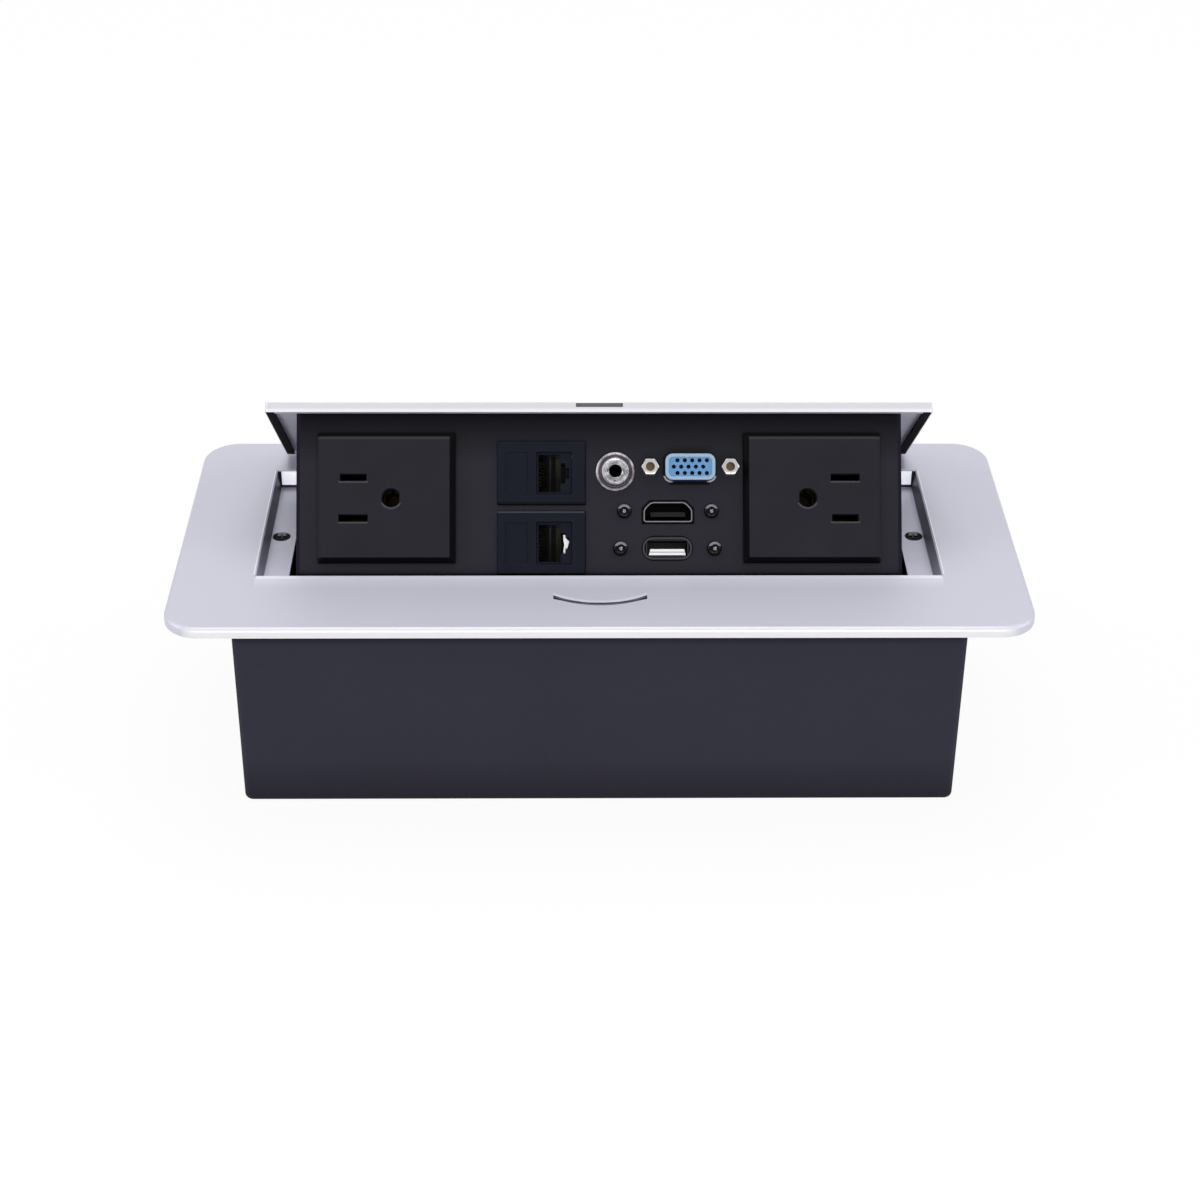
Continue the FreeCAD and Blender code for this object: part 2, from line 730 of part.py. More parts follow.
def tray_side():
    """The tray's right-hand side, drawn shut, with its arm back to the hinge and its two flanges"""
    inner, outer = half_tray - sheet, half_tray
    lean = math.radians(panel_lean)
    top = (lid_under - pocket_ceiling + sheet * math.sin(lean)) / math.cos(lean)
    arm_top = hinge_z + neck_half
    pocket_back = hinge_y - math.sqrt(sweep_radius ** 2 - (lid_under - hinge_z) ** 2) - lid_rear_rim - 0.2
    gear_edge = pitch_radius - 3.0
    floor = panel_point(panel_length)[1]
    outline = [panel_point(top, -sheet), panel_point(panel_length, -sheet), (tray_floor_back, floor),
               (tie_bar_front + tie_bar_width, tie_bar_height - 5),
               about_hinge(gear_edge, mesh_angle - open_angle + 12),
               about_hinge(gear_edge, mesh_angle - open_angle + 2),
               about_hinge(gear_edge, mesh_angle - open_angle - 8),
               (hinge_y + boss_radius, hinge_z), (hinge_y, hinge_z), (hinge_y - 2, arm_top),
               (hinge_y - sweep_radius - 1, arm_top), (hinge_y - sweep_radius - 1, lid_under - 0.1),
               (pocket_back, lid_under - 0.1), (pocket_back, pocket_ceiling)]
    plate = side_prism(outline, inner, outer)
    back = side_prism([(hinge_y - sweep_radius - 2, arm_top), (hinge_y - 9, arm_top),
                       (hinge_y - 9, lid_under - 0.1), (hinge_y - sweep_radius - 2, lid_under - 0.1)],
                      inner, outer)
    back = back.cut(across(sweep_radius, hinge_y, hinge_z, inner - 1, outer + 1))
    boss = across(boss_radius, hinge_y, hinge_z, inner, outer)
    flange = block(inner - flange_width, inner + 1, panel_front + 2, panel_front + flange_length,
                   pocket_ceiling - sheet, pocket_ceiling)
    weld = leaned(block(inner - weld_width, inner + 1, sheet, 2 * sheet, -panel_length + 8, -top - 2))
    side = joined([plate, back, boss, flange, weld])
    side = side.cut(leaned(block(inner - 20, outer + 1, -5, sheet, -panel_length, 5)))
    cuts = [rod(lid_screw_radius, (x, y, pocket_ceiling - 3), (x, y, pocket_ceiling + 1))
            for x, y in lid_screw_places()]
    cuts.append(across(pin_radius + pin_clearance, hinge_y, hinge_z, inner - 1, outer + 1))
    return side.cut(cuts)


def tray_side_left():
    """The left-hand side, which also carries the toothed sector"""
    holes = [across(sector_rivet_radius, *about_hinge(sector_inner + 4, angle), -half_tray - 1,
                    -half_tray + sheet + 1)
             for angle in sector_rivet_angles]
    return mirrored(tray_side()).cut(holes)


def tray_panel():
    """The sloping panel with its cut-outs, drawn shut, which stands on the tray's floor"""
    top = (lid_under - pocket_ceiling) / math.cos(math.radians(panel_lean))
    panel = leaned(block(-half_tray, half_tray, 0, sheet, -panel_length + sheet, -top))
    above = block(-half_tray - 1, half_tray + 1, -99, 99, pocket_ceiling, pocket_ceiling + 5)
    return panel.cut([above] + [leaned(shape) for shape in panel_cutouts()])


def tray_floor():
    """The tray's floor with two vents, drawn shut. Its front edge is the stop lip under the panel"""
    inner = half_tray - sheet
    lip = leaned(block(-half_tray, half_tray, -stop_lip, sheet, -panel_length, -panel_length + sheet))
    front, low = panel_point(panel_length)
    floor = block(-inner, inner, front + 0.5, tray_floor_back, low, low + sheet)
    vents = [block(side * vent_across - vent_half, side * vent_across + vent_half, front + vent_margin,
                   tray_floor_back - vent_margin, low - 1, low + 3) for side in (-1, 1)]
    return joined([lip, floor]).cut(vents)


def panel_cutouts():
    """Everything cut through the panel, drawn upright at the panel's own origin"""
    through = (-1.0, sheet + 1.0)
    cuts = []
    half_w, half_h = socket_body_width / 2, socket_body_height / 2
    for x in (-socket_across, socket_across):
        cuts.append(block(x - half_w, x + half_w, *through, -socket_down - half_h, -socket_down + half_h))
    half_w, half_h = module_width / 2 - module_step, module_height / 2 - module_step
    for down in (module_top, module_top + module_pitch):
        cuts.append(block(module_across - half_w, module_across + half_w, *through, -down - half_h,
                          -down + half_h))
    cuts.append(rod(audio_barrel, (audio_across, -1, -audio_down), (audio_across, 3, -audio_down)))
    cuts.append(pill(vga_width + 1.2, vga_height + 1.2, vga_corner, vga_across, -vga_down, *through))
    cuts.append(front_prism(hdmi_outline(0.6), *through))
    cuts.append(pill(usb_width, usb_height, usb_height / 2 - 0.3, usb_across, -usb_down, *through))
    for x, down in port_screw_places() + vga_screw_places():
        cuts.append(rod(1.3, (x, -1, -down), (x, 3, -down)))
    return cuts


def port_screw_places():
    """The (x, down) of the screws beside the two lower ports"""
    places = [(hdmi_across + side * hdmi_screw_spacing / 2, hdmi_down - 0.3) for side in (-1, 1)]
    return places + [(usb_across + side * usb_screw_spacing / 2, usb_down + 0.1) for side in (-1, 1)]


def vga_screw_places():
    """The (x, down) of the two hexagon posts beside the video port"""
    return [(vga_across + side * vga_screw_spacing / 2, vga_down) for side in (-1, 1)]


def hdmi_outline(grow):
    """The port's bevelled outline, with its bevels at the top, as (x, z) points"""
    half, low, high = hdmi_width / 2 + grow, -hdmi_height / 2 - grow, hdmi_height / 2 + grow
    bevel = 2.3
    points = [(-half, low), (half, low), (half, high - bevel), (half - bevel, high), (-half + bevel, high),
              (-half, high - bevel)]
    return [(hdmi_across + x, -hdmi_down + z) for x, z in points]


def stop_pads():
    """Rubber pads on the stop lip, which meet the plate's underside, drawn shut"""
    pads = []
    for side in (-1, 1):
        x = side * half_tray * 0.7
        pads.append(leaned(block(x - 6, x + 6, -stop_lip, -0.6, -panel_length + sheet,
                                 -panel_length + sheet + stop_pad_thick)))
    return pads


def tie_bar():
    """The bar that ties the tray's sides together and carries the strike, drawn shut"""
    back = tie_bar_front + tie_bar_width
    inner = half_tray - sheet
    bar = block(-inner, inner, tie_bar_front, back, tie_bar_height, tie_bar_height + sheet)
    ends = [block(-inner, -inner + sheet, tie_bar_front, back, tie_bar_height, tie_bar_height + 9),
            block(inner - sheet, inner, tie_bar_front, back, tie_bar_height, tie_bar_height + 9)]
    rib = block(-inner + 12, inner - 12, back - sheet, back, tie_bar_height, tie_bar_height + 5)
    return joined([bar] + ends + [rib])


def strike_plate():
    """The steel strike under the tie bar, drawn shut"""
    strike = block(-9, 9, latch_y - 5, latch_y + 5, tie_bar_height - strike_thick, tie_bar_height)
    return soften(strike, Vector(0, 0, 1), 1.5)


def spring_post():
    """The right-hand post on the tray's arm that the spring pushes up, drawn shut"""
    above = spring_mean + spring_wire / 2 + post_radius
    y, z = about_hinge(spring_leg - 3, spring_leg_angle - open_angle, -above)
    return across(post_radius, y, z, half_tray - sheet - 2.4, half_tray - sheet)


def socket(side):
    """One outlet, upright at the panel's origin, with its blade slots toward the tray's end"""
    x, z = side * socket_across, -socket_down
    w, h = socket_width / 2, socket_height / 2
    bezel = block(x - w, x + w, -socket_raise, 0, z - h, z + h)
    front = [edge for edge in bezel.Edges if edge.BoundBox.YMax < -socket_raise + 0.01]
    bezel = bezel.makeChamfer(socket_chamfer, front)
    bw, bh = socket_body_width / 2 - port_fit, socket_body_height / 2 - port_fit
    body = block(x - bw, x + bw, 0, socket_body_depth, z - bh, z + bh)
    clips = [block(edge - 0.8, edge + 0.8, sheet + 0.1, sheet + 3, z - 5, z + 5) for edge in (x - bw, x + bw)]
    whole = joined([bezel, body] + clips)
    cuts = []
    for up, length in ((side, neutral_slot_length), (-side, line_slot_length)):
        slot_z = z + up * blade_spacing / 2
        slot_x = x + side * blade_offset
        cuts.append(block(slot_x - length / 2, slot_x + length / 2, -socket_raise - 1, 8,
                          slot_z - blade_slot / 2, slot_z + blade_slot / 2))
        cuts.append(block(slot_x - 5.2, slot_x + 5.2, contact_depth - 1, socket_body_depth - 4,
                          slot_z - 2.6, slot_z + 2.6))
        cuts.append(block(slot_x - 1.5, slot_x + 1.5, 8, socket_body_depth + 1, slot_z - 0.4, slot_z + 0.4))
    earth_x = x - side * earth_offset
    hole = rod(earth_radius, (earth_x, -socket_raise - 1, z), (earth_x, contact_depth, z))
    flat = block(earth_x - 4, earth_x + 4, -socket_raise - 2, contact_depth + 1, z - 4, z + 4)
    flat.translate(Vector(-side * (4 + earth_radius * 0.87), 0, 0))
    cuts.append(hole.cut(flat))
    cuts.append(rod(4.2, (earth_x, contact_depth - 1, z), (earth_x, socket_body_depth - 4, z)))
    cuts.append(block(earth_x - 1.5, earth_x + 1.5, 8, socket_body_depth + 1, z - 0.4, z + 0.4))
    return whole.cut(cuts)


def blade_contacts(up):
    """The spring contacts behind the slots on one side of each outlet, upright"""
    clips = []
    for side in (-1, 1):
        slot_x = side * (socket_across + blade_offset)
        slot_z = -socket_down + side * up * blade_spacing / 2
        back = socket_body_depth - 4
        start, end = slot_x - 3.6, slot_x + 3.6
        leaf = block(start, end, contact_depth, back, slot_z + 1.25, slot_z + 1.25 + contact_sheet)
        other = block(start, end, contact_depth, back, slot_z - 1.25 - contact_sheet, slot_z - 1.25)
        web = block(start, end, back - contact_sheet, back, slot_z - 1.25, slot_z + 1.25)
        tail = block(slot_x - 1.5, slot_x + 1.5, back, socket_body_depth + 6, slot_z - 0.4, slot_z + 0.4)
        clips.append(joined([leaf, other, web, tail]))
    return clips


def earth_contacts():
    """The round contacts behind the earth holes, upright"""
    tubes = []
    for side in (-1, 1):
        x, z = side * (socket_across - earth_offset), -socket_down
        back = socket_body_depth - 4
        tube = rod(3.2, (x, contact_depth, z), (x, back, z)).cut(rod(2.5, (x, 2, z), (x, back - 0.8, z)))
        tube = tube.cut(block(x - 0.4, x + 0.4, 2, back - 2, z, z + 5))
        tail = block(x - 1.5, x + 1.5, back - 0.5, socket_body_depth + 6, z - 0.4, z + 0.4)
        tubes.append(joined([tube, tail]))
    return tubes


def data_frame(down):
    """The frame of one data module, upright"""
    x, z = module_across, -down
    w, h = module_width / 2, module_height / 2
    face = block(x - w, x + w, -module_raise, 0, z - h, z + h)
    front = [edge for edge in face.Edges if edge.BoundBox.YMax < -module_raise + 0.01]
    face = face.makeChamfer(0.5, front)
    bw, bh = w - module_step - port_fit, h - module_step - port_fit
    body = block(x - bw, x + bw, 0, 9, z - bh, z + bh)
    whole = joined([face, body])
    aw, ah = jack_aperture_width / 2, jack_aperture_height / 2
    jx = x + jack_offset
    window = block(jx - aw, jx + aw, -5, 20, z - ah, z + ah)
    tag = block(x - w + 2.6, x - w + 9.6, -module_raise - 1, -module_raise + 0.3, z - 6.5, z + 6.5)
    return whole.cut([window, tag])


def data_jack(down):
    """One data jack, upright, lying on its side with the latch notch to the right"""
    jx, z = module_across + jack_offset, -down
    aw, ah = jack_aperture_width / 2 - port_fit, jack_aperture_height / 2 - port_fit
    body = block(jx - aw, jx + aw, -0.2, jack_depth, z - ah, z + ah)
    left = jx - 4.9
    cavity = block(left, left + jack_cavity_width, -3, jack_cavity_depth, z - jack_cavity_height / 2,
                   z + jack_cavity_height / 2)
    notch = block(left + jack_cavity_width - 0.1, left + jack_cavity_width + 1.5, -3, jack_cavity_depth - 2,
                  z - 3.2, z + 3.2)
    slot = block(left + jack_cavity_width + 1.4, left + jack_cavity_width + 2.7, -3, 5, z - 1.7, z + 1.7)
    return body.cut([cavity, notch, slot])


def data_contacts(down):
    """The eight wires in a data jack, upright, each sloping out from the cavity's left wall"""
    wires = []
    left = module_across + jack_offset - 4.9
    for index in range(8):
        z = -down + (index - 3.5) * 1.02
        outline = [(left, 1.5), (left, 2.1), (left + 1.9, 9.8), (left + 2.4, 9.8), (left + 2.4, 9.3)]
        corners = [Vector(x, y, z - 0.17) for x, y in outline]
        face = Part.Face(Part.makePolygon(corners + corners[:1]))
        wires.append(face.extrude(Vector(0, 0, 0.34)))
    return wires


def audio_jack():
    """The sound jack: a threaded barrel through the panel and its body behind"""
    x, z = audio_across, -audio_down
    barrel = rod(audio_barrel, (x, -3.2, z), (x, sheet, z))
    body = soften(block(x - 4.6, x + 4.6, sheet, sheet + 15, z - 4.6, z + 4.6), Vector(0, 1, 0), 1)
    bore = rod(audio_bore, (x, -5, z), (x, 13, z))
    return joined([barrel, body]).cut(bore)


def audio_washer():
    """The dished washer under the sound jack's nut"""
    x, z = audio_across, -audio_down
    disc = rod(audio_flange, (x, -1.0, z), (x, 0, z))
    disc = disc.makeChamfer(0.4, [edge for edge in disc.Edges if edge.BoundBox.YMax < -0.99])
    return disc.cut(rod(audio_barrel, (x, -2, z), (x, 1, z)))


def audio_nut():
    """The round nut of the sound jack, with a groove round its face"""
    x, z = audio_across, -audio_down
    nut = rod(4.7, (x, -2.8, z), (x, -1.0, z))
    nut = nut.makeChamfer(0.5, [edge for edge in nut.Edges if edge.BoundBox.YMax < -2.79])
    groove = rod(3.9, (x, -3, z), (x, -2.4, z)).cut(rod(3.4, (x, -4, z), (x, -2, z)))
    return nut.cut([groove, rod(audio_barrel, (x, -4, z), (x, 1, z))])


def vga_shell():
    """The video port's steel flange behind the panel and its low shell through it"""
    x, z = vga_across, -vga_down
    wall = pill(vga_width + 1.0, vga_height + 1.0, vga_corner - 0.1, x, z, -0.9, sheet + 0.2)
    flange = pill(30.8, 12.4, 1.5, x, z, sheet, sheet + 0.8)
    back = pill(vga_width + 2, vga_height + 1.6, 2.0, x, z, sheet + 0.8, sheet + 9)
    hole = pill(vga_width + 0.1, vga_height + 0.1, vga_corner - 0.5, x, z, -2, sheet + 4)
    posts = [rod(1.25, (px, -1, -down), (px, sheet + 2, -down)) for px, down in vga_screw_places()]
    return joined([wall, flange, back]).cut([hole] + posts)


def vga_insulator():
    """The video port's coloured insulator with fifteen eight-sided holes in three rows"""
    x, z = vga_across, -vga_down
    body = pill(vga_width, vga_height, vga_corner - 0.55, x, z, -vga_rise, sheet + 4)
    front = [edge for edge in body.Edges if edge.BoundBox.YMax < -vga_rise + 0.01]
    body = body.makeChamfer(0.35, front)
    holes = []
    for row in range(3):
        shift = (-1 if row == 1 else 1) * vga_pin_across / 4
        for index in range(5):
            hx = x + (index - 2) * vga_pin_across + shift
            hz = z + (1 - row) * vga_pin_down
            corners = [(hx + vga_pin_bore * math.cos(math.radians(45 * i + 22.5)),
                        hz + vga_pin_bore * math.sin(math.radians(45 * i + 22.5))) for i in range(8)]
            holes.append(front_prism(corners, -vga_rise - 1, -vga_rise + 3.5))
    return body.cut(holes)


def vga_jackscrews():
    """Hexagon posts beside the video port, tapped for the plug's screws"""
    posts = []
    for x, down in vga_screw_places():
        z = -down
        points = [(x + vga_post_radius * math.cos(math.radians(60 * i)),
                   z + vga_post_radius * math.sin(math.radians(60 * i)))
                  for i in range(6)]
        head = front_prism(points, -4.6, 0)
        dome = Part.makeCone(4.6, 2.2, 2.4, Vector(x, -2.2, z), Vector(0, -1, 0))
        head = head.common(joined([dome, rod(4.6, (x, -2.2, z), (x, 0.5, z))]))
        shank = rod(1.25, (x, -0.2, z), (x, sheet + 3.2, z))
        posts.append(joined([head, shank]).cut(rod(1.35, (x, -6, z), (x, -1.6, z))))
    return posts


def hdmi_port():
    """The bevelled video port's carrier behind the panel, and its metal shell"""
    z = -hdmi_down
    carrier = pill(34, 9.4, 1.5, hdmi_across, z, sheet, sheet + 2.4)
    block_behind = pill(19, 9.0, 1.0, hdmi_across, z, sheet + 2.4, sheet + port_carrier_depth)
    carrier = joined([carrier, block_behind])
    carrier = carrier.cut(front_prism(hdmi_outline(0.02), 0, sheet + port_depth))
    holes = [rod(1.25, (x, 0, -down), (x, sheet + 6, -down)) for x, down in port_screw_places()[:2]]
    shell = front_prism(hdmi_outline(0), -0.5, sheet + port_depth)
    shell = shell.cut(front_prism(hdmi_outline(-0.45), -1, sheet + port_depth - 0.5))
    return carrier.cut(holes), shell


def hdmi_tongue():
    """The contact tongue in the bevelled port"""
    z = -hdmi_down - 0.7
    tongue = block(hdmi_across - 5.4, hdmi_across + 5.4, 0.6, sheet + port_depth - 0.5, z - 0.7, z + 0.7)
    return tongue


def usb_port():
    """The charging port's carrier behind the panel, and its metal shell"""
    x, z = usb_across, -usb_down
    carrier = pill(36, 9.4, 1.5, x, z, sheet, sheet + 2.4)
    behind = pill(18, 9.0, 1.0, x, z, sheet + 2.4, sheet + port_carrier_depth)
    carrier = joined([carrier, behind])
    carrier = carrier.cut(pill(13.4, 5.8, 0.6, x, z, 0, sheet + port_depth))
    holes = [rod(1.25, (px, 0, -down), (px, sheet + 6, -down)) for px, down in port_screw_places()[2:]]
    shell = pill(13.3, 5.7, 0.6, x, z, 0.3, sheet + port_depth)
    shell = shell.cut(pill(12.6, 5.0, 0.3, x, z, -1, sheet + port_depth - 0.4))
    return carrier.cut(holes), shell


def usb_tongue():
    """The white tongue in the lower half of the charging port"""
    z = -usb_down - 1.15
    return block(usb_across - 5.75, usb_across + 5.75, 0.5, sheet + port_depth - 0.4, z - 0.95, z + 0.95)


def port_screws():
    """Pan-head screws beside the two lower ports"""
    screws = []
    for x, down in port_screw_places():
        z = -down
        head = rod(port_screw_head, (x, -1.4, z), (x, 0, z))
        head = head.makeChamfer(0.6, [edge for edge in head.Edges if edge.BoundBox.YMax < -1.39])
        cross = [block(x - 1.3, x + 1.3, -2, -0.8, z - 0.25, z + 0.25),
                 block(x - 0.25, x + 0.25, -2, -0.8, z - 1.3, z + 1.3)]
        shank = rod(1.2, (x, -0.1, z), (x, sheet + 4, z))
        screws.append(joined([head, shank]).cut(cross))
    return screws


os.makedirs("parts", exist_ok=True)

# What stays still: the plate, the box and what is fixed to them
keep("face_plate", face_plate())
keep("plate_screws", *plate_screws())
keep("lower_box", lower_box())
keep("side_bracket_right", side_bracket())
keep("side_bracket_left", mirrored(side_bracket()))
keep("hinge_bracket_right", hinge_bracket())
keep("hinge_bracket_left", mirrored(hinge_bracket()))
keep("bracket_rivets", *bracket_rivets())
keep("pivot_pin_right", pivot_pin())
keep("pivot_pin_left", mirrored(pivot_pin()))
keep("pivot_washers", pivot_washer(), mirrored(pivot_washer()))
keep("hinge_spring_right", hinge_spring())
keep("hinge_spring_left", mirrored(hinge_spring()))
keep("damper_body", damper_body())
keep("damper_rivets", *damper_rivet_set())
keep("latch_housing", latch_housing())
keep("latch_screws", *latch_screws())
keep("latch_spring", latch_spring())
keep("cable_grommet_right", cable_grommet())
keep("cable_grommet_left", mirrored(cable_grommet()))

# What slides or spins on its own
keep("damper_pinion", damper_pinion())
keep("latch_plunger", latch_plunger())
keep("latch_magnet", latch_magnet())

# The tray and its lid
keep("lid", opened(lid()))
keep("lid_seals", opened(seal_strip(-1)), opened(seal_strip(1)))
keep("lid_screws", *[opened(screw) for screw in lid_screws()])
keep("tray_panel", opened(tray_panel()))
keep("tray_floor", opened(tray_floor()))
keep("tray_side_right", opened(tray_side()))
keep("tray_side_left", opened(tray_side_left()))
keep("tie_bar", opened(tie_bar()))
keep("strike_plate", opened(strike_plate()))
keep("stop_pads", *[opened(pad) for pad in stop_pads()])
keep("gear_sector", opened(gear_sector()))
keep("sector_rivets", *[opened(rivet) for rivet in sector_rivets()])
keep("spring_posts", opened(spring_post()), opened(mirrored(spring_post())))

# What is mounted in the panel
keep("outlet_right", on_panel(socket(1)))
keep("outlet_left", on_panel(socket(-1)))
keep("neutral_contacts", *[on_panel(clip) for clip in blade_contacts(1)])
keep("line_contacts", *[on_panel(clip) for clip in blade_contacts(-1)])
keep("earth_contacts", *[on_panel(tube) for tube in earth_contacts()])
for place, down in (("upper", module_top), ("lower", module_top + module_pitch)):
    keep("data_frame_" + place, on_panel(data_frame(down)))
    keep("data_jack_" + place, on_panel(data_jack(down)))
    keep("data_contacts_" + place, *[on_panel(wire) for wire in data_contacts(down)])
keep("audio_jack", on_panel(audio_jack()))
keep("audio_washer", on_panel(audio_washer()))
keep("audio_nut", on_panel(audio_nut()))
keep("vga_shell", on_panel(vga_shell()))
keep("vga_insulator", on_panel(vga_insulator()))
keep("vga_jackscrews", *[on_panel(post) for post in vga_jackscrews()])
hdmi_carrier, hdmi_shell = hdmi_port()
keep("hdmi_carrier", on_panel(hdmi_carrier))
keep("hdmi_shell", on_panel(hdmi_shell))
keep("hdmi_tongue", on_panel(hdmi_tongue()))
usb_carrier, usb_shell = usb_port()
keep("usb_carrier", on_panel(usb_carrier))
keep("usb_shell", on_panel(usb_shell))
keep("usb_tongue", on_panel(usb_tongue()))
keep("port_screws", *[on_panel(screw) for screw in port_screws()])
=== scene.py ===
import math

import bmesh
import bpy
from mathutils import Matrix, Vector
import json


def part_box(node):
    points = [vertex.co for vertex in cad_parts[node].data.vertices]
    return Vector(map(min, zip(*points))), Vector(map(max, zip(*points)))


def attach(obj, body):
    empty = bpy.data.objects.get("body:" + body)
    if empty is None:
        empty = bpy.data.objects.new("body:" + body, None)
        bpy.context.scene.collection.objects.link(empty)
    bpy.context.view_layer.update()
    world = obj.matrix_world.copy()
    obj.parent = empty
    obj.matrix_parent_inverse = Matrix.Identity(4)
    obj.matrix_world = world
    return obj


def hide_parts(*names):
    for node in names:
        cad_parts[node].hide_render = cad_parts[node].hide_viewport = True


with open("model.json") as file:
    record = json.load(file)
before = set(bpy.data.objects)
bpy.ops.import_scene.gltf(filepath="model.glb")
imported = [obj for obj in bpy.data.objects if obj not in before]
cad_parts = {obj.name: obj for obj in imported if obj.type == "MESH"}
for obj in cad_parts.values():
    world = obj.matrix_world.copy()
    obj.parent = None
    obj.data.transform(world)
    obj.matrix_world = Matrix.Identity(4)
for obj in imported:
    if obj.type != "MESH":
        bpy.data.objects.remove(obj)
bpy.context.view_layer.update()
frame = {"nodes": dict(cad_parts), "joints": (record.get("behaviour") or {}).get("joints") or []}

# The camera stands in front of the outlet and a little to its left, looks down on it at 32 degrees and
# sees it through a long lens, as the photograph does. Its lens is worked out for a square frame, 1200 by
# 1200.
FRAME_PIXELS = 1200
FOCAL_PIXELS = 2386.27
SENSOR = 36.0
CAMERA_PLACE = Vector((-0.010555, -0.661288, 0.456616))
CAMERA_PITCH = math.radians(32.047)
CAMERA_YAW = math.radians(0.968)
CAMERA_ROLL = math.radians(0.451)

camera_data = bpy.data.cameras.new("camera")
camera_data.sensor_width = SENSOR
camera_data.lens = SENSOR * FOCAL_PIXELS / FRAME_PIXELS
camera_data.clip_start = 0.05
camera = bpy.data.objects.new("camera", camera_data)
bpy.context.scene.collection.objects.link(camera)
ahead = Vector((math.sin(CAMERA_YAW) * math.cos(CAMERA_PITCH),
                math.cos(CAMERA_YAW) * math.cos(CAMERA_PITCH), -math.sin(CAMERA_PITCH)))
level = Vector((math.cos(CAMERA_YAW), -math.sin(CAMERA_YAW), 0))
upward = level.cross(ahead)
right = level * math.cos(CAMERA_ROLL) + upward * math.sin(CAMERA_ROLL)
top = upward * math.cos(CAMERA_ROLL) - level * math.sin(CAMERA_ROLL)
turned_to = Matrix((right, top, -ahead)).transposed().to_4x4()
camera.matrix_world = Matrix.Translation(CAMERA_PLACE) @ turned_to
bpy.context.scene.camera = camera


# The floor is a sheet of white paper that goes on past the view. It is seen as plain white, keeps the
# object's shadow, and is the first surface with a finish.
FLOOR_REACH = 6.0
FLOOR_GLOW = 0.93
PAPER = (240, 240, 242)


class Term:
    """A socket of a finish, on which arithmetic adds Math nodes"""

    def __init__(self, finish, socket):
        self.finish = finish
        self.socket = socket

    def maths(self, operation, *values):
        return self.finish.add("ShaderNodeMath", {"operation": operation}, dict(enumerate(values)))

    def __add__(self, other):
        return self.maths("ADD", self, other)

    def __radd__(self, other):
        return self.maths("ADD", other, self)

    def __sub__(self, other):
        return self.maths("SUBTRACT", self, other)

    def __rsub__(self, other):
        return self.maths("SUBTRACT", other, self)

    def __mul__(self, other):
        return self.maths("MULTIPLY", self, other)

    def __rmul__(self, other):
        return self.maths("MULTIPLY", other, self)

    def __abs__(self):
        return self.maths("ABSOLUTE", self)

    def above(self, limit):
        """1 where the value is above a limit, else 0"""
        return self.maths("GREATER_THAN", self, limit)

    def below(self, limit):
        """1 where the value is below a limit, else 0"""
        return self.maths("LESS_THAN", self, limit)

    def near(self, middle, reach):
        """1 where the value is within reach of a middle, else 0"""
        return abs(self - middle).below(reach)

    def either(self, other):
        """1 where this mask or another is 1, else 0"""
        return self.maths("MAXIMUM", self, other)

    def between(self, low, high):
        """0 below low, 1 above high and even between them"""
        return self.finish.add("ShaderNodeMapRange", {"clamp": True},
                               {"Value": self, "From Min": low, "From Max": high})


class Finish:
    """A material with one shader, the object's coordinates and one way to add any node"""

    def __init__(self, name, colour, roughness, **sockets):
        self.material = bpy.data.materials.new(name)
        self.material.use_nodes = True
        self.tree = self.material.node_tree
        self.shader = self.tree.nodes["Principled BSDF"]
        self.shader.inputs["Base Color"].default_value = shade(*colour)
        self.shader.inputs["Roughness"].default_value = roughness
        for socket, value in sockets.items():
            self.shader.inputs[socket.replace("_", " ")].default_value = value
        self.place = self.add("ShaderNodeTexCoord", {}, {}, "Object")

    def add(self, kind, settings, sockets, output=0):
        """Add a node, with its settings and then the values or links of its sockets"""
        node = self.tree.nodes.new(kind)
        for name, value in settings.items():
            setattr(node, name, value)
        for name, value in sockets.items():
            if isinstance(value, Term):
                self.tree.links.new(value.socket, node.inputs[name])
            else:
                node.inputs[name].default_value = value
        return Term(self, node.outputs[output])

    def vectors(self, operation, first, second, output=0):
        """Vector maths on two vectors, each a Term or three numbers"""
        return self.add("ShaderNodeVectorMath", {"operation": operation}, {0: first, 1: second}, output)

    def along(self, direction, origin=(0, 0, 0)):
        """How far a point lies from an origin along a direction, in metres"""
        shifted = self.vectors("SUBTRACT", self.place, origin)
        return self.vectors("DOT_PRODUCT", shifted, direction, "Value")

    def noise(self, size, detail=2.0):
        """Soft cloudy values whose features are about as large as size, in metres"""
        return self.add("ShaderNodeTexNoise", {}, {"Vector": self.place, "Scale": 1 / size, "Detail": detail})

    def tint(self, factor, first, second):
        """The colour between two colours, each a colour of its own or a Term"""
        first, second = [item if isinstance(item, Term) else shade(*item) for item in (first, second)]
        return self.add("ShaderNodeMix", {"data_type": "RGBA"}, {0: factor, 6: first, 7: second}, 2)

    def painted(self, colour, *coats):
        """A colour with others laid over it in turn, each given as its mask and its colour"""
        for mask, coat in coats:
            colour = self.tint(mask, colour, coat)
        return colour

    def feed(self, socket, term):
        """Let a Term drive one socket of the shader"""
        self.tree.links.new(term.socket, self.shader.inputs[socket])

    def bump(self, height, distance):
        """Raise the surface by up to a distance, in metres"""
        raised = self.add("ShaderNodeBump", {}, {"Height": height, "Distance": distance}, "Normal")
        self.feed("Normal", raised)


def shade(red, green, blue):
    """A colour as the shader takes it, from one as it is seen, each part from 0 to 255"""
    parts = [part / 255 for part in (red, green, blue)]
    return [part / 12.92 if part < 0.04045 else ((part + 0.055) / 1.055) ** 2.4
            for part in parts] + [1.0]


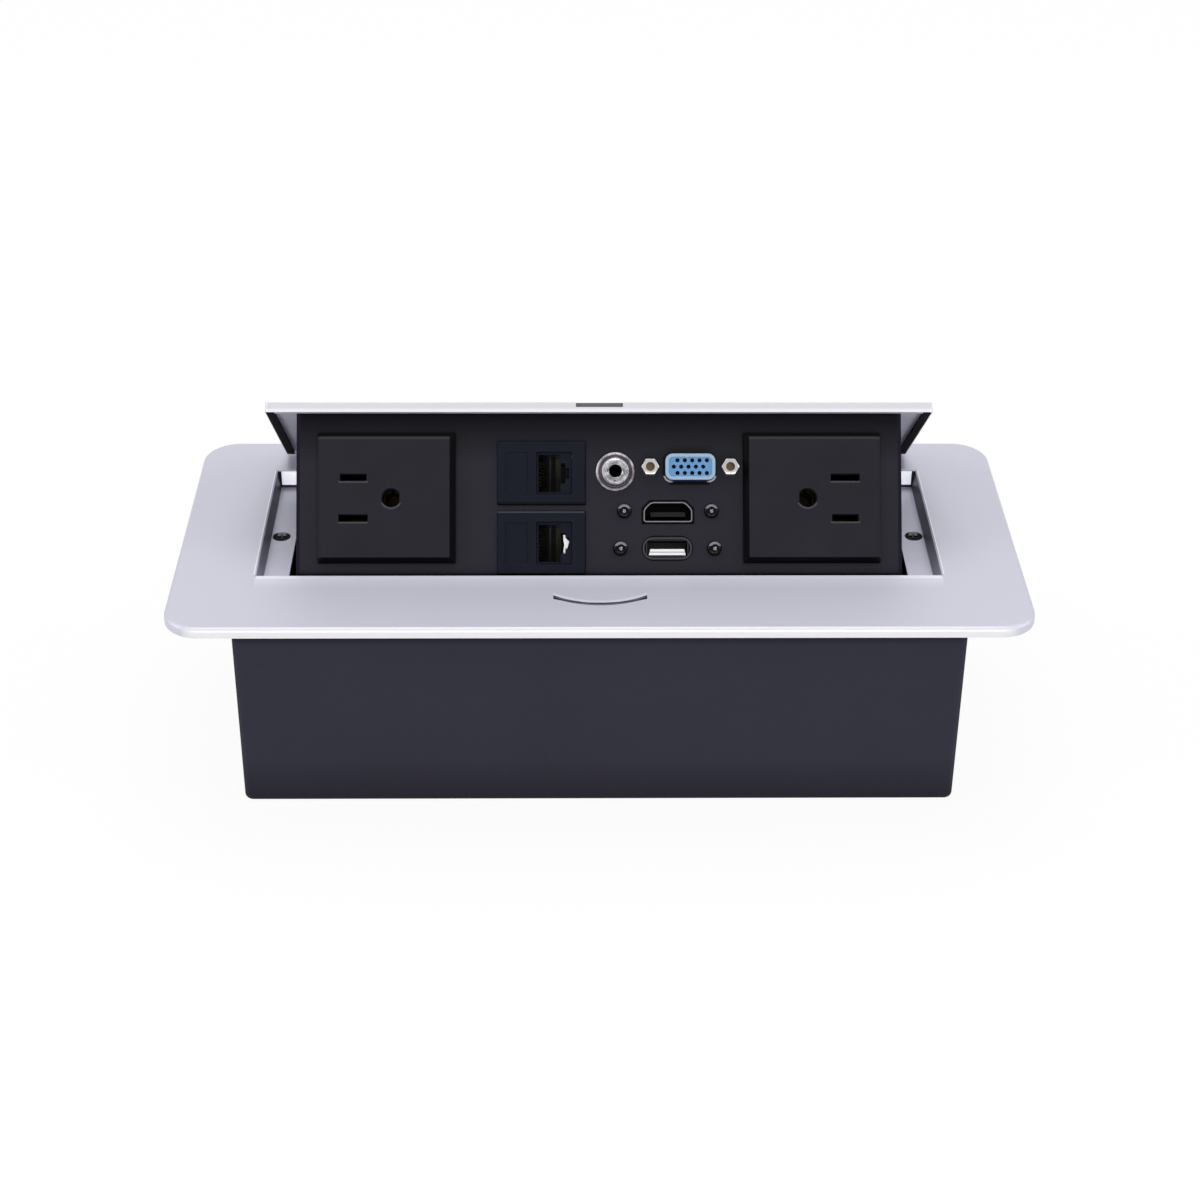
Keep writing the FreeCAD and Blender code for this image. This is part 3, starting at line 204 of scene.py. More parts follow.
floor_shape = bmesh.new()
bmesh.ops.create_grid(floor_shape, x_segments=1, y_segments=1, size=FLOOR_REACH)
floor_mesh = bpy.data.meshes.new("floor")
floor_shape.to_mesh(floor_mesh)
floor_shape.free()
floor = bpy.data.objects.new("floor", floor_mesh)
bpy.context.scene.collection.objects.link(floor)
paper = Finish("white paper", PAPER, 0.9, Specular_IOR_Level=0.1)
seen = paper.add("ShaderNodeLightPath", {}, {}, "Is Camera Ray")
mirrored = paper.add("ShaderNodeLightPath", {}, {}, "Is Glossy Ray")
through = paper.add("ShaderNodeLightPath", {}, {}, "Is Transmission Ray")
glow = paper.add("ShaderNodeEmission", {}, {"Color": (1, 1, 1, 1), "Strength": 1.0})
paper_sheet = Term(paper, paper.shader.outputs[0])
paper_surface = paper.add("ShaderNodeMixShader", {},
                          {0: (seen + mirrored + through) * FLOOR_GLOW, 1: paper_sheet, 2: glow})
paper.tree.links.new(paper_surface.socket, paper.tree.nodes["Material Output"].inputs["Surface"])
floor_mesh.materials.append(paper.material)

# The light is a pale room all round and soft lamps: one low in front, which the metal's front edges
# show, one at each side and a broad one overhead. The shade under the lid is painted into the tray's
# colour, and the front edges are painted lighter too.
ROOM_LIGHT = 0.58
SOFTBOXES = {"front_lamp": ((0.0, -1.6, 0.25), 1.8, 0.5, 13.0),
             "left_lamp": ((-1.3, -0.2, 0.8), 0.8, 0.8, 6.0),
             "right_lamp": ((1.3, -0.2, 0.8), 0.8, 0.8, 6.0),
             "top_lamp": ((0.0, 0.5, 1.6), 1.2, 1.0, 10.0)}
LAMP_AIM = Vector((0.0, 0.0, 0.06))

room = bpy.data.worlds.new("room")
bpy.context.scene.world = room
room.use_nodes = True
backdrop = room.node_tree.nodes["Background"]
backdrop.inputs["Color"].default_value = (1, 1, 1, 1)
rays = room.node_tree.nodes.new("ShaderNodeLightPath")
seen_ray = rays.outputs["Is Camera Ray"]
for other in ("Is Glossy Ray", "Is Transmission Ray"):
    either = room.node_tree.nodes.new("ShaderNodeMath")
    either.operation = "MAXIMUM"
    room.node_tree.links.new(seen_ray, either.inputs[0])
    room.node_tree.links.new(rays.outputs[other], either.inputs[1])
    seen_ray = either.outputs[0]
strength = room.node_tree.nodes.new("ShaderNodeMath")
strength.operation = "MULTIPLY_ADD"
strength.inputs[1].default_value = 1 - ROOM_LIGHT
strength.inputs[2].default_value = ROOM_LIGHT
room.node_tree.links.new(seen_ray, strength.inputs[0])
room.node_tree.links.new(strength.outputs[0], backdrop.inputs["Strength"])
bpy.context.scene.view_settings.view_transform = "Standard"

for name, (place, width, height, power) in SOFTBOXES.items():
    lamp_data = bpy.data.lights.new(name, "AREA")
    lamp_data.shape = "RECTANGLE"
    lamp_data.size, lamp_data.size_y = width, height
    lamp_data.energy = power
    lamp = bpy.data.objects.new(name, lamp_data)
    bpy.context.scene.collection.objects.link(lamp)
    lamp.location = place
    lamp.rotation_euler = (LAMP_AIM - Vector(place)).to_track_quat("-Z", "Y").to_euler()


# The face plate is a cast aluminium frame that lies on the desk, bead blasted and clear anodised. It has
# a well at each end of its opening and an arc cut into its front margin. Light and shade are painted into
# its colour: painted light on the front face, near the opening, on the ledges and on the rear walls, painted
# highlights along the opening's edges and beside the arc, painted shade in the arc, on the end walls and at
# the foot of the rear walls, and a painted glow on the rear walls beside the tray.
SATIN_DARK, SATIN_LIGHT, FRONT_FACE_LIGHT = (184, 184, 196), (192, 192, 205), (211, 210, 214)
OPENING_NEAR_LIGHT, OPENING_LIP_HIGHLIGHT = (208, 208, 221), (230, 230, 243)
ARC_SHADE, ARC_END_SHADE, ARC_GLEAM = (96, 98, 112), (44, 45, 60), (203, 204, 218)
REAR_WALL_LIGHT, REAR_FOOT_SHADE, REAR_GLOW = (252, 252, 255), (60, 60, 72), (188, 188, 198)
END_REAR_SHADE, END_FRONT_LIGHT = (44, 43, 54), (158, 156, 174)
LEDGE_REAR_LIGHT, LEDGE_FRONT_LIGHT = (214, 214, 228), (238, 238, 255)
PLATE_EDGE, WELD_REACH, SHARP_FROM = 0.00025, 0.000002, math.radians(40)
FRONT_FROM, FRONT_TO = 0.0002, 0.0014
OPENING_FRONT, OPENING_SKIN, NEAR_REACH, TRAY_REACH = -0.02764, 0.0001, 0.008, 0.0947
LIP_WIDTH, LIP_DEPTH, END_LIP_HALF = 0.0023, 0.0008, 0.0023 / 6
ARC_MIDDLE, ARC_RADIUS, ARC_HALF, ARC_WIDTH, BESIDE_ARC = -0.01845, 0.02645, 0.0144, 0.00075, 0.00195
ARC_END_FROM, ARC_SKIN, ARC_DEPTH = 0.0115, 0.0001, 0.0006
WELL_MIDDLE, WELL_REACH, WELL_MARGIN = 0.00591, (0.1068, 0.0334), (0.0005, 0.0006)
WELL_SKIN, WELL_FLOOR = 0.0005, 0.009
END_WALL_FROM, FOOT_SKIN, LEDGE_SKIN = 0.10565, 0.0056, 0.0067


def satin_of(name):
    """Bead-blasted aluminium, as on the plate and the lid, with its plain colour"""
    finish = Finish(name, SATIN_LIGHT, 0.46, Metallic=0.35)
    beads = finish.noise(0.0006, 3.0)
    finish.feed("Roughness", 0.40 + 0.12 * beads)
    finish.bump(beads, 0.00002)
    return finish, finish.tint(finish.noise(0.09, 2.0), SATIN_DARK, SATIN_LIGHT)


plate_low, plate_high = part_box("face_plate")
satin, satin_colour = satin_of("satin aluminium")
satin_across, satin_back = abs(satin.along((1, 0, 0))), satin.along((0, 1, 0))
satin_depth = satin.along((0, 0, -1), plate_high)
# Painted light: the plate's front face is painted lighter than its top.
lit_front = 1 - satin_back.between(plate_low[1] + FRONT_FROM, plate_low[1] + FRONT_TO)
within_ends = satin_across.below(WELL_REACH[0])
# Painted light: the plate is painted lighter near the opening's front edge, over the shade that falls there.
lit_near_opening = (within_ends * satin_back.below(OPENING_FRONT + OPENING_SKIN)
                * satin_back.between(OPENING_FRONT - NEAR_REACH, OPENING_FRONT))
# Painted highlight along the opening's front edge and the wells' outer edges.
front_lip = within_ends * satin_back.near(OPENING_FRONT - LIP_WIDTH / 2, LIP_WIDTH / 2)
end_lip = (satin_across.near(WELL_REACH[0] + END_LIP_HALF, END_LIP_HALF)
           * satin_back.near(WELL_MIDDLE, WELL_REACH[1]))
lip_highlight = satin_depth.below(LIP_DEPTH) * front_lip.either(end_lip)
arc_side = satin.along((0, 1, 0), (0, ARC_MIDDLE, 0))
arc_span = satin_across * satin_across + arc_side * arc_side
beside_arc = (satin_across.below(ARC_HALF) * satin_depth.below(ARC_DEPTH) * arc_side.below(0.0)
              * arc_span.above((ARC_RADIUS - BESIDE_ARC) ** 2)
              * arc_span.below((ARC_RADIUS + BESIDE_ARC) ** 2))
on_arc = arc_span.above((ARC_RADIUS - ARC_WIDTH) ** 2) * arc_span.below((ARC_RADIUS + ARC_WIDTH) ** 2)
in_arc = beside_arc * satin_depth.above(ARC_SKIN).either(on_arc)
# Painted highlight: a light band along the rear side of the arc.
arc_gleam = beside_arc * arc_span.below(ARC_RADIUS ** 2)
in_well = (satin_across.below(WELL_REACH[0] + WELL_MARGIN[0])
           * satin_back.near(WELL_MIDDLE, WELL_REACH[1] + WELL_MARGIN[1])
           * satin_depth.above(WELL_SKIN) * satin_depth.below(WELL_FLOOR))
to_rear = satin_back.between(WELL_MIDDLE - WELL_REACH[1], WELL_MIDDLE + WELL_REACH[1])
# Painted light: the ledges are painted light, lighter towards the front.
on_ledge, on_wall = in_well * satin_depth.above(LEDGE_SKIN), in_well * satin_depth.below(LEDGE_SKIN)
# Painted light and shade: the end walls are painted light at the front and dark at the rear.
on_end = on_wall * satin_across.above(END_WALL_FROM)
# Painted light: the rear walls are painted near white, with painted shade at their foot.
on_rear = (on_wall * satin_back.above(WELL_MIDDLE + WELL_REACH[1])
           * satin_across.below(END_WALL_FROM))
# Painted shade: the arc's groove and a band along it are painted dark, darkest at its ends.
arc_shade_colour = satin.tint(satin_across.between(ARC_END_FROM, ARC_HALF), ARC_SHADE, ARC_END_SHADE)
satin.feed("Base Color", satin.painted(
    satin_colour, (lit_near_opening, OPENING_NEAR_LIGHT), (lip_highlight, OPENING_LIP_HIGHLIGHT), (lit_front, FRONT_FACE_LIGHT),
    (arc_gleam, ARC_GLEAM), (in_arc, arc_shade_colour),
    (on_ledge, satin.tint(to_rear, LEDGE_FRONT_LIGHT, LEDGE_REAR_LIGHT)),
    (on_end, satin.tint(to_rear, END_FRONT_LIGHT, END_REAR_SHADE)),
    (on_rear, satin.tint(satin_depth.above(FOOT_SKIN), REAR_WALL_LIGHT, REAR_FOOT_SHADE))))
# Painted light: the rear walls beside the tray glow, though no lamp is there.
rear_glow = on_rear * satin_depth.below(FOOT_SKIN) * satin_across.above(TRAY_REACH)
satin.shader.inputs["Emission Strength"].default_value = 1.0
satin.feed("Emission Color", satin.tint(rear_glow, (0, 0, 0), REAR_GLOW))


def dress(finish, edge, *names):
    """Give CAD nodes a finish and, unless it is 0, a small round of that width on their sharp edges"""
    for name in names:
        for material_slot in frame["nodes"][name].material_slots:
            material_slot.material = finish.material
        if edge:
            weld = frame["nodes"][name].modifiers.new("weld", "WELD")
            weld.merge_threshold = WELD_REACH
            eased = frame["nodes"][name].modifiers.new("eased", "BEVEL")
            eased.width = edge
            eased.segments = 2
            eased.limit_method = "ANGLE"
            eased.angle_limit = SHARP_FROM
            eased.harden_normals = True


dress(satin, PLATE_EDGE, "face_plate")

# The two screws in the wells hold the plate to the box. They are countersunk steel with a crossed slot,
# blacked, and a painted highlight lies on the rear of each head.
BLACKED, SCREW_HIGHLIGHT = (5, 5, 8), (150, 150, 160)
HIGHLIGHT_REACH, HIGHLIGHT_FROM = 0.0014, 0.0005

screws_low, screws_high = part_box("plate_screws")
screw_radius = (screws_high[1] - screws_low[1]) / 2
blacked = Finish("blacked steel", BLACKED, 0.32, Specular_IOR_Level=0.06)
blacked_side = abs(abs(blacked.along((1, 0, 0))) - (screws_high[0] - screw_radius))
blacked_back = blacked.along((0, 1, 0), (0, screws_high[1] - screw_radius, 0))
# Painted highlight on the rear of each screw head.
head_highlight = blacked_side.below(HIGHLIGHT_REACH) * blacked_back.above(HIGHLIGHT_FROM)
blacked.feed("Base Color", blacked.tint(head_highlight, BLACKED, SCREW_HIGHLIGHT))
blacked_wear = blacked.noise(0.0012, 3.0)
blacked.feed("Roughness", 0.26 + 0.16 * blacked_wear)
blacked.bump(blacked_wear, 0.00001)
dress(blacked, 0, "plate_screws")

# The lower box hangs under the desk. It is folded from sheet steel with a matt black powder coat, which
# is a little cloudy and as rough as orange peel from near by. Its front is painted darker as shade under
# the plate and towards its foot, and its folds are painted near black as shade.
COAT_DARK, COAT_LIGHT, COAT_SHADE, FOLD_SHADE = (36, 36, 47), (41, 41, 53), (27, 26, 35), (8, 8, 11)
SHADE_TOP, SHADE_FOOT, FOLD = 0.0018, 0.016, 0.0006

box_low, box_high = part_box("lower_box")
coat = Finish("matt powder coat", COAT_LIGHT, 0.62, Specular_IOR_Level=0.11)
coat_peel = coat.noise(0.0011, 2.0)
coat_height, coat_across = coat.along((0, 0, 1), (0, 0, box_low[2])), abs(coat.along((1, 0, 0)))
# Painted shade: the bottom and side folds are painted near black.
fold_shade = coat_height.below(FOLD).either(coat_across.above(box_high[0] - FOLD))
under_plate = plate_low[2] - box_low[2]
# Painted shade on the box under the plate and towards its foot.
coat_shade = 1 - (coat_height.between(FOLD, SHADE_FOOT)
                  * (1 - coat_height.between(under_plate - SHADE_TOP, under_plate)))
coat_colour = coat.tint(coat.noise(0.05, 2.0), COAT_DARK, COAT_LIGHT)
coat.feed("Base Color", coat.painted(coat_colour, (coat_shade, COAT_SHADE), (fold_shade, FOLD_SHADE)))
coat.feed("Roughness", 0.55 + 0.15 * coat_peel)
coat.bump(coat_peel, 0.00004)
dress(coat, 0, "lower_box")

# The brackets that carry the hinge and hold the box to the plate are bent steel, and rivets fix them.
# All have a zinc plate, whose crystals show as pale patches.
ZINC_DARK, ZINC_LIGHT = (172, 175, 180), (202, 203, 204)
zinc = Finish("zinc plate", ZINC_LIGHT, 0.36, Metallic=1.0)
zinc_crystals = zinc.noise(0.004, 3.0)
zinc.feed("Base Color", zinc.tint(zinc_crystals, ZINC_DARK, ZINC_LIGHT))
zinc.feed("Roughness", 0.26 + 0.2 * zinc_crystals)
dress(zinc, 0, "side_bracket_right", "side_bracket_left", "hinge_bracket_right", "hinge_bracket_left",
      "bracket_rivets", "damper_rivets", "sector_rivets")

# The hinge pins with their washers, the posts and the wound springs are bright drawn steel, with fine
# marks of the die. The springs push the tray open and the latch's plunger up.
DRAWN = (188, 188, 190)
bright = Finish("bright steel", DRAWN, 0.24, Metallic=1.0)
bright_marks = bright.noise(0.0008, 3.0)
bright.feed("Roughness", 0.16 + 0.18 * bright_marks)
dress(bright, 0, "pivot_pin_right", "pivot_pin_left", "pivot_washers", "spring_posts", "hinge_spring_right",
      "hinge_spring_left", "latch_spring")

# The rotary damper that slows the tray has a body moulded in black plastic, filled with thick grease.
# Its pinion and the toothed sector on the tray's side are cut from natural acetal.
MOULDED = (34, 34, 37)
ACETAL_DARK, ACETAL_LIGHT = (216, 212, 201), (228, 225, 216)
moulded = Finish("moulded black", MOULDED, 0.5, Specular_IOR_Level=0.25)
moulded_grain = moulded.noise(0.0009, 2.0)
moulded.feed("Roughness", 0.42 + 0.16 * moulded_grain)
moulded.bump(moulded_grain, 0.00003)
dress(moulded, 0, "damper_body")
acetal = Finish("natural acetal", ACETAL_LIGHT, 0.4)
acetal_milk = acetal.noise(0.006, 2.0)
acetal.feed("Base Color", acetal.tint(acetal_milk, ACETAL_DARK, ACETAL_LIGHT))
acetal.feed("Roughness", 0.36 + 0.1 * acetal_milk)
dress(acetal, 0, "damper_pinion", "gear_sector")

# The push latch stands on the box's floor: a black housing held by two zinc screws, a sliding acetal
# plunger with a plated magnet in its tip, and the steel strike under the tray that it holds.
PLATED = (196, 196, 198)
plated = Finish("plated magnet", PLATED, 0.2, Metallic=1.0)
plated.feed("Roughness", 0.14 + 0.14 * plated.noise(0.001, 2.0))
dress(moulded, 0, "latch_housing")
dress(acetal, 0, "latch_plunger")
dress(plated, 0, "latch_magnet")
dress(zinc, 0, "latch_screws", "strike_plate")

# The cable grommets snap into the box's back wall. They, the pads of the tray's stop and the strips glued
# under the lid's ends are black rubber with a dull bloom.
RUBBER_DARK, RUBBER_LIGHT = (5, 4, 9), (10, 9, 14)
rubber = Finish("black rubber", RUBBER_DARK, 0.7, Specular_IOR_Level=0.05)
rubber_bloom = rubber.noise(0.003, 3.0)
rubber.feed("Base Color", rubber.tint(rubber_bloom, RUBBER_DARK, RUBBER_LIGHT))
rubber.bump(rubber_bloom, 0.00003)
dress(rubber, 0, "cable_grommet_right", "cable_grommet_left", "stop_pads", "lid_seals")

# The tray is folded from sheet steel and tied by a bar, with a satin black powder coat. Its panel leans
# back and carries the sockets, each through a hole cut to its shape. Painted shade darkens the panel under
# the lid, along its side edges, at its foot and round the ports' holes.
TRAY_DARK, TRAY_LIGHT, TRAY_SHADE = (34, 33, 39), (39, 38, 44), (4, 4, 8)
TRAY_SIDE_SHADE, TRAY_FOOT_SHADE, CUT_SHADE = (22, 19, 30), (9, 8, 14), (6, 6, 9)
SHADE_DEPTH, SIDE_WIDTH, FOOT_FROM = 0.0155, 0.0011, 0.0501
VIDEO_CUT, VIDEO_CUT_REACH = (0.0283, 0.02185), (0.0063, 0.0005)
DISPLAY_CUT, DISPLAY_CUT_REACH = (0.0214, 0.03093), (0.0083, 0.0038, 0.0092)
CHARGE_CUT, CHARGE_CUT_REACH = (0.0212, 0.04228), (0.0041, 0.0040)
PANEL_LEAN = 6.446
PANEL_TOP = Vector((0.0, -0.02464, 0.0661))

tray_hinge = next(joint for joint in frame["joints"] if joint["name"] == "tray_hinge")
hinge = Vector(tray_hinge["pos_m"])
opened = (Matrix.Translation(hinge) @ Matrix.Rotation(-math.radians(tray_hinge["range_deg"][1]), 4, "X")
          @ Matrix.Translation(-hinge))
on_panel = opened @ Matrix.Translation(PANEL_TOP) @ Matrix.Rotation(math.radians(PANEL_LEAN), 4, "X")
panel_origin = on_panel.translation
panel_out = on_panel.to_3x3() @ Vector((0, -1, 0))
panel_down = on_panel.to_3x3() @ Vector((0, 0, -1))

tray_coat = Finish("satin powder coat", TRAY_LIGHT, 0.5, Specular_IOR_Level=0.06)
tray_peel = tray_coat.noise(0.0009, 2.0)
tray_down, tray_side = tray_coat.along(panel_down, panel_origin), tray_coat.along((1, 0, 0))
# Painted shade round the holes of the video, display and charging ports.
video_cut = (tray_side.near(VIDEO_CUT[0], VIDEO_CUT_REACH[0])
             * tray_down.near(VIDEO_CUT[1], VIDEO_CUT_REACH[1]))
display_side, display_drop = abs(tray_side - DISPLAY_CUT[0]), tray_down - DISPLAY_CUT[1]
display_cut = (display_side.below(DISPLAY_CUT_REACH[0]) * abs(display_drop).below(DISPLAY_CUT_REACH[1])
               * (display_side - display_drop).below(DISPLAY_CUT_REACH[2]))
past_straight = abs(tray_side - CHARGE_CUT[0]) - CHARGE_CUT_REACH[0]
charge_side, charge_drop = past_straight.maths("MAXIMUM", past_straight, 0.0), tray_down - CHARGE_CUT[1]
charge_cut = (charge_side * charge_side + charge_drop * charge_drop).below(CHARGE_CUT_REACH[1] ** 2)
# Painted shade along the panel's side edges.
side_shade = abs(tray_side).above(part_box("tray_panel")[1][0] - SIDE_WIDTH)
# Painted shade under the lid at the top of the panel, and along its foot.
tray_coat.feed("Base Color", tray_coat.painted(
    tray_coat.tint(tray_coat.noise(0.04, 2.0), TRAY_DARK, TRAY_LIGHT),
    (1 - tray_down.between(0.0, SHADE_DEPTH), TRAY_SHADE), (side_shade, TRAY_SIDE_SHADE),
    (tray_down.above(FOOT_FROM), TRAY_FOOT_SHADE), (video_cut + display_cut + charge_cut, CUT_SHADE)))
tray_coat.feed("Roughness", 0.44 + 0.16 * tray_peel)
tray_coat.bump(tray_peel, 0.00003)
dress(tray_coat, 0, "tray_panel", "tray_floor", "tray_side_right", "tray_side_left", "tie_bar")

# The lid is the same satin aluminium as the plate and is screwed to the tray's flanges from below. Its
# front edge has a shallow notch for a finger, painted dark as the shade in it, and its front face is
# painted lighter, lightest towards its foot, as painted light.
LID_FACE_LIGHT, LID_FOOT_LIGHT, NOTCH_SHADE = (197, 196, 201), (217, 216, 221), (90, 89, 97)
LID_FACE_DEPTH, LID_FOOT_FROM, LID_FOOT_TO = 0.0003, 0.0018, 0.0026
NOTCH_REACH, NOTCH_TALL, NOTCH_DEEP = 0.00745, 0.00165, 0.0013
LID_CORNER = Vector((0.0, -0.02714, 0.06925))

lid_corner = opened @ LID_CORNER
lid_satin, lid_colour = satin_of("satin lid")
lid_across = abs(lid_satin.along((1, 0, 0)))
lid_back = lid_satin.along(opened.to_3x3() @ Vector((0, 1, 0)), lid_corner)
lid_depth = lid_satin.along(opened.to_3x3() @ Vector((0, 0, -1)), lid_corner)
# Painted shade in the finger notch.
in_notch = (lid_across.below(NOTCH_REACH) * lid_depth.below(NOTCH_TALL) * lid_back.above(LID_FACE_DEPTH)
            * lid_back.below(NOTCH_DEEP))
# Painted light on the lid's front face, lighter towards its foot.
lit_lid_face = lid_satin.tint(lid_depth.between(LID_FOOT_FROM, LID_FOOT_TO), LID_FACE_LIGHT, LID_FOOT_LIGHT)
lid_satin.feed("Base Color", lid_satin.painted(lid_colour, (lid_back.below(LID_FACE_DEPTH), lit_lid_face),
                                               (in_notch, NOTCH_SHADE)))
dress(lid_satin, PLATE_EDGE, "lid")
dress(zinc, 0, "lid_screws")

# The outlets are moulded in black with a fine texture and let into the panel. Each has two blade slots
# and an earth hole with brass contacts behind, painted dark as the shade deep in the slots. The slopes
# round their faces are smooth, and painted shade makes them near black, with a painted highlight along
# the top edge; painted highlights also lie under the slots and the earth hole.
SOCKET_DARK, SOCKET_LIGHT, SLOT_LIP_HIGHLIGHT = (31, 30, 35), (38, 37, 43), (62, 62, 66)
SLOPE_SHADE, TOP_SLOPE_SHADE, CREST_HIGHLIGHT = (2, 2, 3), (0, 0, 1), (48, 48, 51)
BRASS_DARK, BRASS_LIGHT = (26, 20, 11), (48, 38, 22)
OUTLET_ACROSS, OUTLET_DOWN = 0.0664, 0.0266
OUTLET_WIDTH, OUTLET_HEIGHT = 0.0429, 0.0408
OUTLET_SLOPE, TOP_SLOPE_REACH, CREST_REACH, OUTLET_EDGE = 0.0018, 0.001224, 0.0021, 0.0002
SLOT_ACROSS, SLOT_DOWN, SLOT_REACH = 0.07675, (0.0202, 0.0329), (0.0046, 0.00115)
EARTH_ACROSS, EARTH_RADIUS, EARTH_LIP_FROM, SOCKET_LIP = 0.06495, 0.003, 0.00165, 0.0006

socket_plastic = Finish("textured black plastic", SOCKET_LIGHT, 0.5, Specular_IOR_Level=0.05)
spark = socket_plastic.noise(0.0007, 2.0)
socket_plastic.feed("Roughness", 0.44 + 0.16 * spark)
socket_plastic.bump(spark, 0.00003)
outlet_down = socket_plastic.along(panel_down, panel_origin)
outlet_across = abs(socket_plastic.along((1, 0, 0)))
outlet_top = OUTLET_DOWN - OUTLET_HEIGHT / 2
# Painted shade makes the inner, lower and upper slopes near black, with a painted highlight along the top
# edge.
outlet_inner = outlet_across.below(OUTLET_ACROSS - OUTLET_WIDTH / 2 + OUTLET_SLOPE)
outlet_lower = outlet_down.above(OUTLET_DOWN + OUTLET_HEIGHT / 2 - OUTLET_SLOPE)
outlet_upper = outlet_down.below(outlet_top + TOP_SLOPE_REACH)
outlet_crest = outlet_down.below(outlet_top + CREST_REACH)
# Painted highlights along the lower edges of the blade slots and the earth hole.
lip_highlights = [outlet_across.near(SLOT_ACROSS, SLOT_REACH[0])
             * outlet_down.near(down + SLOT_REACH[1] + SOCKET_LIP / 2, SOCKET_LIP / 2)
             for down in SLOT_DOWN]
earth_side, earth_drop = outlet_across - EARTH_ACROSS, outlet_down - OUTLET_DOWN
earth_span = earth_side * earth_side + earth_drop * earth_drop
earth_lip_highlight = earth_span.below((EARTH_RADIUS + SOCKET_LIP) ** 2) * earth_drop.above(EARTH_LIP_FROM)
socket_plastic.feed("Base Color", socket_plastic.painted(
    socket_plastic.tint(socket_plastic.noise(0.02, 2.0), SOCKET_DARK, SOCKET_LIGHT),
    (lip_highlights[0] + lip_highlights[1] + earth_lip_highlight, SLOT_LIP_HIGHLIGHT), (outlet_crest, CREST_HIGHLIGHT), (outlet_upper, TOP_SLOPE_SHADE),
    (outlet_inner, TOP_SLOPE_SHADE), (outlet_lower, SLOPE_SHADE)))
dress(socket_plastic, OUTLET_EDGE, "outlet_right", "outlet_left")
# Painted shade: the brass contacts are painted dark, as the shade deep in the slots.
brass = Finish("shaded brass", BRASS_LIGHT, 0.36, Metallic=0.9)
brass.feed("Base Color", brass.tint(brass.noise(0.003, 3.0), BRASS_DARK, BRASS_LIGHT))
dress(brass, 0, "neutral_contacts", "line_contacts", "earth_contacts")

# The two data modules are blue-black plastic frames that snap into the panel. Each has a plain label
# recess and a jack on its side, and eight gilt wires stand in the shade of the jack. A painted highlight
# runs along the lower frame's top edge, painted shade lies along both frames' feet and their right sides,
# and painted glints of the wires lie on the back of each jack.
MODULE_DARK, MODULE_LIGHT = (17, 19, 29), (22, 24, 34)
MODULE_RIM_HIGHLIGHT, MODULE_FOOT_SHADE, MODULE_SIDE_SHADE, WIRE_GLINT = (54, 56, 68), (3, 3, 5), (11, 12, 18), (66, 68, 52)
MODULE_EDGE = 0.00025
MODULE_RIM_AT, MODULE_SIDE_FROM, JACK_BACK = (0.03063, 0.0006), -0.0047, -0.003
MODULE_FEET_AT = ((0.02879, 0.0009), (0.0511, 0.0011))
GLINTS_AT = ((-0.0155, 0.0003), (-0.0129, 0.0008))
GILT_DARK, GILT_LIGHT = (84, 70, 34), (134, 112, 58)
module_plastic = Finish("blue-black plastic", MODULE_LIGHT, 0.4, Specular_IOR_Level=0.06)
module_grain = module_plastic.noise(0.0012, 2.0)
module_down, module_across = module_plastic.along(panel_down, panel_origin), module_plastic.along((1, 0, 0))
jack_inside = module_plastic.along(panel_out, panel_origin).below(JACK_BACK)
# Painted glints of the wires on the back of each jack.
in_glint = module_across.near(*GLINTS_AT[0]) + module_across.near(*GLINTS_AT[1])
# Painted highlight on the lower frame's top edge, and painted shade along the frames' feet and right sides.
module_plastic.feed("Base Color", module_plastic.painted(
    module_plastic.tint(module_plastic.noise(0.012, 2.0), MODULE_DARK, MODULE_LIGHT),
    (module_down.near(*MODULE_RIM_AT), MODULE_RIM_HIGHLIGHT), (module_across.above(MODULE_SIDE_FROM), MODULE_SIDE_SHADE),
    (module_down.near(*MODULE_FEET_AT[0]), MODULE_FOOT_SHADE),
    (module_down.near(*MODULE_FEET_AT[1]), MODULE_FOOT_SHADE), (jack_inside * in_glint, WIRE_GLINT)))
module_plastic.feed("Roughness", 0.32 + 0.14 * module_grain)
module_plastic.bump(module_grain, 0.00002)
dress(module_plastic, MODULE_EDGE, "data_frame_upper", "data_frame_lower")
dress(module_plastic, 0, "data_jack_upper", "data_jack_lower")
gilt = Finish("gilt wire", GILT_LIGHT, 0.25, Metallic=0.9)
gilt.feed("Base Color", gilt.tint(gilt.noise(0.0008, 2.0), GILT_DARK, GILT_LIGHT))
dress(gilt, 0, "data_contacts_upper", "data_contacts_lower")

# The sound jack has a dished washer and a round nut on a threaded sleeve, all turned from brass and nickel
# plated, in front of a black body. These pieces are drawn in millimetres and laid on the panel. The nickel
# is painted in rings as light and shade: the washer's rim and the nut's face each have a tone of their own,
# with painted shade on the nut's side, in the bore and on the lower side.
JACK_PLACE = (4.95, 18.23)
NICKEL_DARK, NICKEL_LIGHT = (172, 169, 169), (198, 195, 195)
RIM_PALE, RIM_BRIGHT, NUT_SIDE_SHADE = (122, 118, 124), (168, 165, 170), (128, 121, 128)
NUT_DARK, NUT_BRIGHT, RING_SHADE, LOWER_SIDE_SHADE = (146, 145, 150), (208, 208, 212), (8, 8, 9), (104, 101, 107)
RING_RADII, CLOUD_LOW, CLOUD_HIGH = (0.00515, 0.0041, 0.0021), 0.38, 0.62
LOW_FROM, LOW_TO, LOW_SHARE = 0.0005, 0.006, 0.6
TURNED_STEPS, MERGE_REACH, SHARP_ANGLE = 64, 0.0005, math.radians(32)
WASHER = [(3.05, 0.0), (6.15, 0.0), (6.15, 0.5), (6.0, 0.8), (5.7, 0.95), (5.35, 0.9), (5.05, 0.6),
          (4.85, 0.5), (3.05, 0.5)]
